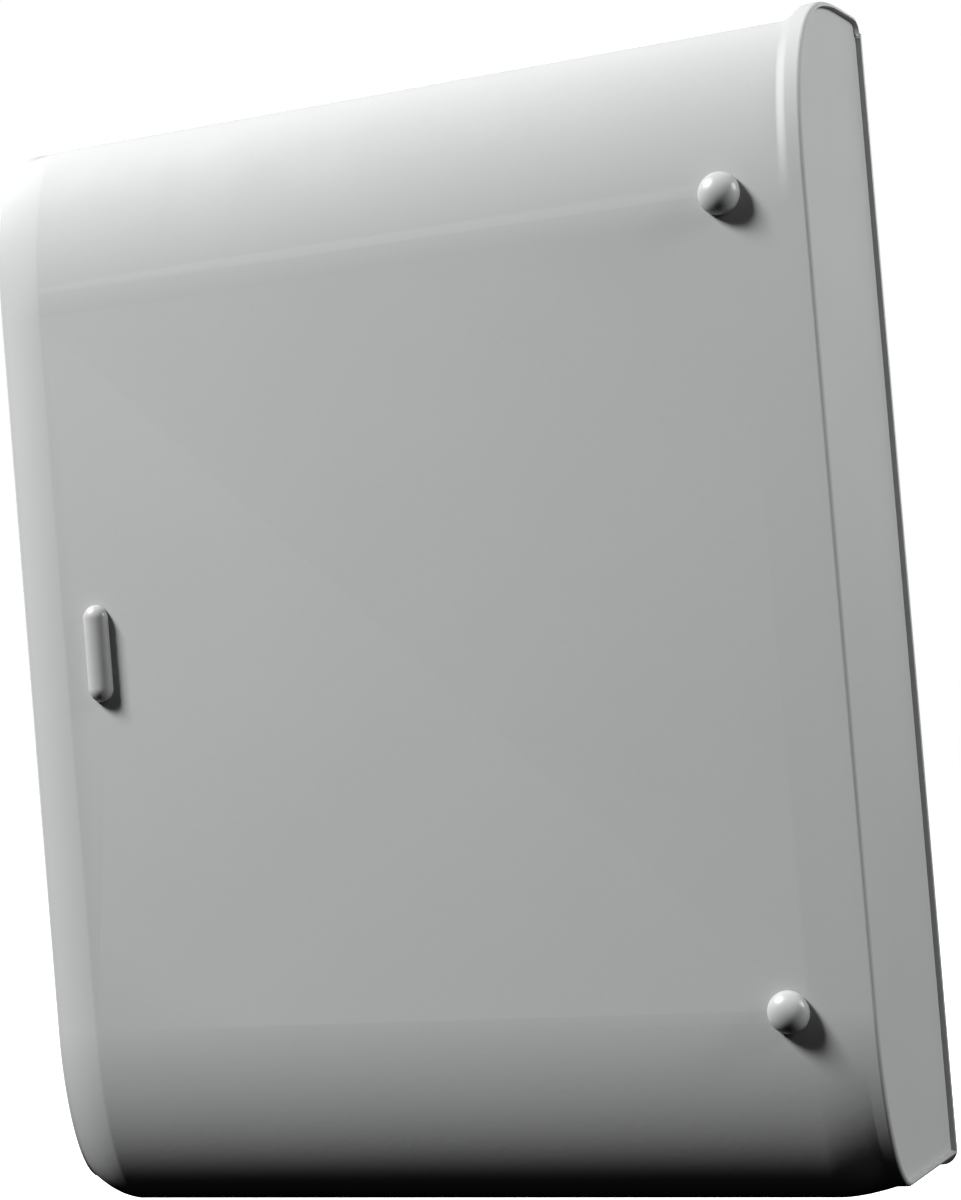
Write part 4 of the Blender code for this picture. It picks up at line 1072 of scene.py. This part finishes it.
def make_leads():
    """The battery leads and the sounder lead, along the CAD part's own routes."""
    terminal_low, terminal_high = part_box("terminal_block")
    first, second, third = (terminal_low.x + 0.010 * (way + 0.5) for way in (0, 1, 3))
    entry_y = terminal_high.y - 0.004
    above, below = terminal_high.z + GAP, terminal_low.z - GAP
    plus, minus = middle("battery_tab_plus"), middle("battery_tab_minus")
    tab_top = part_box("battery_tab_plus")[1].z + GAP
    horn, driver_low = middle("horn"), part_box("horn_driver")[0]
    routes = {
        "battery_lead_plus": ("lead_red", [
            (plus.x, plus.y, tab_top), (0.007, -0.027, 0.090), (-0.010, -0.032, 0.092),
            (-0.045, -0.038, 0.080), (-0.075, -0.036, 0.045), (-0.078, -0.032, 0.015),
            (first, -0.026, -0.004), (first, entry_y, above)]),
        "battery_lead_minus": ("lead_black", [
            (minus.x, minus.y, tab_top), (0.080, -0.030, 0.090), (0.040, -0.036, 0.094),
            (0.000, -0.042, 0.096), (-0.030, -0.045, 0.088), (-0.058, -0.045, 0.058),
            (-0.066, -0.036, 0.020), (second, -0.026, -0.004), (second, entry_y, above)]),
        "sounder_lead": ("lead_grey", [
            (driver_low.x - GAP, horn.y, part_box("horn_driver")[1].z - 0.005),
                                       (-0.002, horn.y, -0.072),
            (-0.020, -0.030, -0.060), (-0.040, -0.026, -0.048), (third, -0.022, -0.036),
            (third, entry_y, below)]),
    }
    for node, (slot, points) in routes.items():
        lead = tube(node + "_wire", smooth_route(points, 14), LEAD_R)
        place_piece(lead, slot, stands_for=[node])


def make_grommet():
    """The rubber grommet in the cable entry."""
    low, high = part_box("cable_grommet")
    flange, sleeve, bore = (high.x - low.x) / 2, 0.0097, 0.005
    seat = low.y + 0.0016
    depth = high.y - seat
    outline = rounded([(bore, -depth / 2), (bore, 0.0016), (flange, 0.0016), (flange, 0.0),
                       (sleeve, 0.0), (sleeve, -depth), (bore, -depth), (bore, -depth / 2)], 0.0006)
    grommet = lathe("cable_grommet_turned", outline[:-1], (middle("cable_grommet").x, seat,
                    middle("cable_grommet").z), sides=80, closed=True)
    place_piece(grommet, "black_rubber", stands_for=["cable_grommet"])


# ---------------------------------------------------------------- stage

CAMERA_AZIMUTH = math.radians(24.98)        # to the siren's right
CAMERA_ELEVATION = math.radians(-1.19)
CAMERA_ROLL = math.radians(-4.73)
CAMERA_DISTANCE = 0.7585
CAMERA_TARGET_Z = 0.0028
LENS = 85.94
SHIFT = (0.0567, 0.0277)
SENSOR = 36.0

SKY = 0.03
BACKGROUND = 1.0
FLOOR_GLOW = 1.0          # keeps the floor as pale as the surround
LIGHTS = {
    "key_light": ((-1.470, -0.915, 1.697), 0.55, 132.0),
    "side_light": ((1.449, -0.117, 0.676), 0.6, 20.0),
    "back_light": ((0.300, 1.500, 0.500), 0.9, 6.0),
}


def make_camera():
    """The camera, at the photograph's viewing angle."""
    target = Vector((0.0, FRONT_Y, CAMERA_TARGET_Z))
    away = Vector((math.sin(CAMERA_AZIMUTH) * math.cos(CAMERA_ELEVATION),
                   -math.cos(CAMERA_AZIMUTH) * math.cos(CAMERA_ELEVATION),
                   math.sin(CAMERA_ELEVATION)))
    right = Vector((math.cos(CAMERA_AZIMUTH), math.sin(CAMERA_AZIMUTH), 0.0))
    up = right.cross(-away)
    cosine, sine = math.cos(CAMERA_ROLL), math.sin(CAMERA_ROLL)
    across, rising = right * cosine + up * sine, up * cosine - right * sine
    data = bpy.data.cameras.new("camera")
    data.sensor_width = SENSOR
    data.lens = LENS
    data.shift_x, data.shift_y = SHIFT
    data.clip_start, data.clip_end = 0.01, 50.0
    camera = bpy.data.objects.new("camera", data)
    bpy.context.scene.collection.objects.link(camera)
    turn = Matrix((across, rising, away)).transposed().to_4x4()
    camera.matrix_world = Matrix.Translation(target + away * CAMERA_DISTANCE) @ turn
    bpy.context.scene.camera = camera


def make_light(name, place, size, power, target=(0.0, FRONT_Y, 0.0)):
    data = bpy.data.lights.new(name, "AREA")
    data.shape = "SQUARE"
    data.size = size
    data.energy = power
    light = bpy.data.objects.new(name, data)
    bpy.context.scene.collection.objects.link(light)
    light.location = place
    light.rotation_euler = (Vector(target) - Vector(place)).to_track_quat("-Z", "Y").to_euler()
    return light


def make_world():
    """Even light from above the horizon only, against a white surround."""
    world = bpy.data.worlds.new("studio")
    bpy.context.scene.world = world
    world.use_nodes = True
    tree = world.node_tree
    tree.nodes.clear()
    direction = tree.nodes.new("ShaderNodeTexCoord").outputs["Generated"]
    split = tree.nodes.new("ShaderNodeSeparateXYZ")
    tree.links.new(direction, split.inputs["Vector"])
    dome = tree.nodes.new("ShaderNodeBackground")
    tree.links.new(remap(tree, split.outputs["Z"], 0.0, SKY, -0.05, 0.10), dome.inputs["Strength"])
    surround = tree.nodes.new("ShaderNodeBackground")
    surround.inputs["Strength"].default_value = BACKGROUND
    for background in (dome, surround):
        background.inputs["Color"].default_value = (1.0, 1.0, 1.0, 1.0)
    choose = tree.nodes.new("ShaderNodeMixShader")
    seen = tree.nodes.new("ShaderNodeLightPath").outputs["Is Camera Ray"]
    tree.links.new(seen, choose.inputs["Fac"])
    tree.links.new(dome.outputs[0], choose.inputs[1])
    tree.links.new(surround.outputs[0], choose.inputs[2])
    output = tree.nodes.new("ShaderNodeOutputWorld")
    tree.links.new(choose.outputs[0], output.inputs["Surface"])


def make_floor():
    """A pale floor below the siren, which sends no light back up at it."""
    data = bmesh.new()
    bmesh.ops.create_grid(data, x_segments=8, y_segments=8, size=6.0)
    floor = add_object("floor", data, Matrix.Translation((0.0, 0.0, -2 * TOP_Z)))
    floor.data.materials.append(surface("pale_floor", (0.86, 0.86, 0.86), 0.7, drift=0.01,
                                        drift_scale=3, grain=0.0001, grain_scale=150,
                                        Emission_Color=(1.0, 1.0, 1.0, 1.0),
                                        Emission_Strength=FLOOR_GLOW))
    floor.visible_diffuse = False
    floor.visible_glossy = False


def make_stage():
    """The camera, the world, the floor and the lights."""
    scene = bpy.context.scene
    scene.view_settings.view_transform = "Standard"
    make_camera()
    make_world()
    make_floor()
    for name, (place, size, power) in LIGHTS.items():
        make_light(name, place, size, power)


def remove_starting_objects():
    """Removes whatever is in the file besides the frame's own objects."""
    kept = set(frame["nodes"].values()) | set(frame["bodies"].values())
    for thing in list(bpy.data.objects):
        if thing not in kept:
            bpy.data.objects.remove(thing, do_unlink=True)


remove_starting_objects()
make_stage()
make_cover()
make_end_panel()
make_light_guide()
for screw_side in ("top", "bottom"):
    make_cover_screw(screw_side)
make_back_plate()
make_sheet_metal()
make_small_screws()
make_board_pieces()
make_standoffs()
make_chip()
make_relay()
make_capacitors()
make_coil()
make_led()
make_terminals()
make_tamper()
make_header()
make_sounder()
make_battery()
make_leads()
make_grommet()
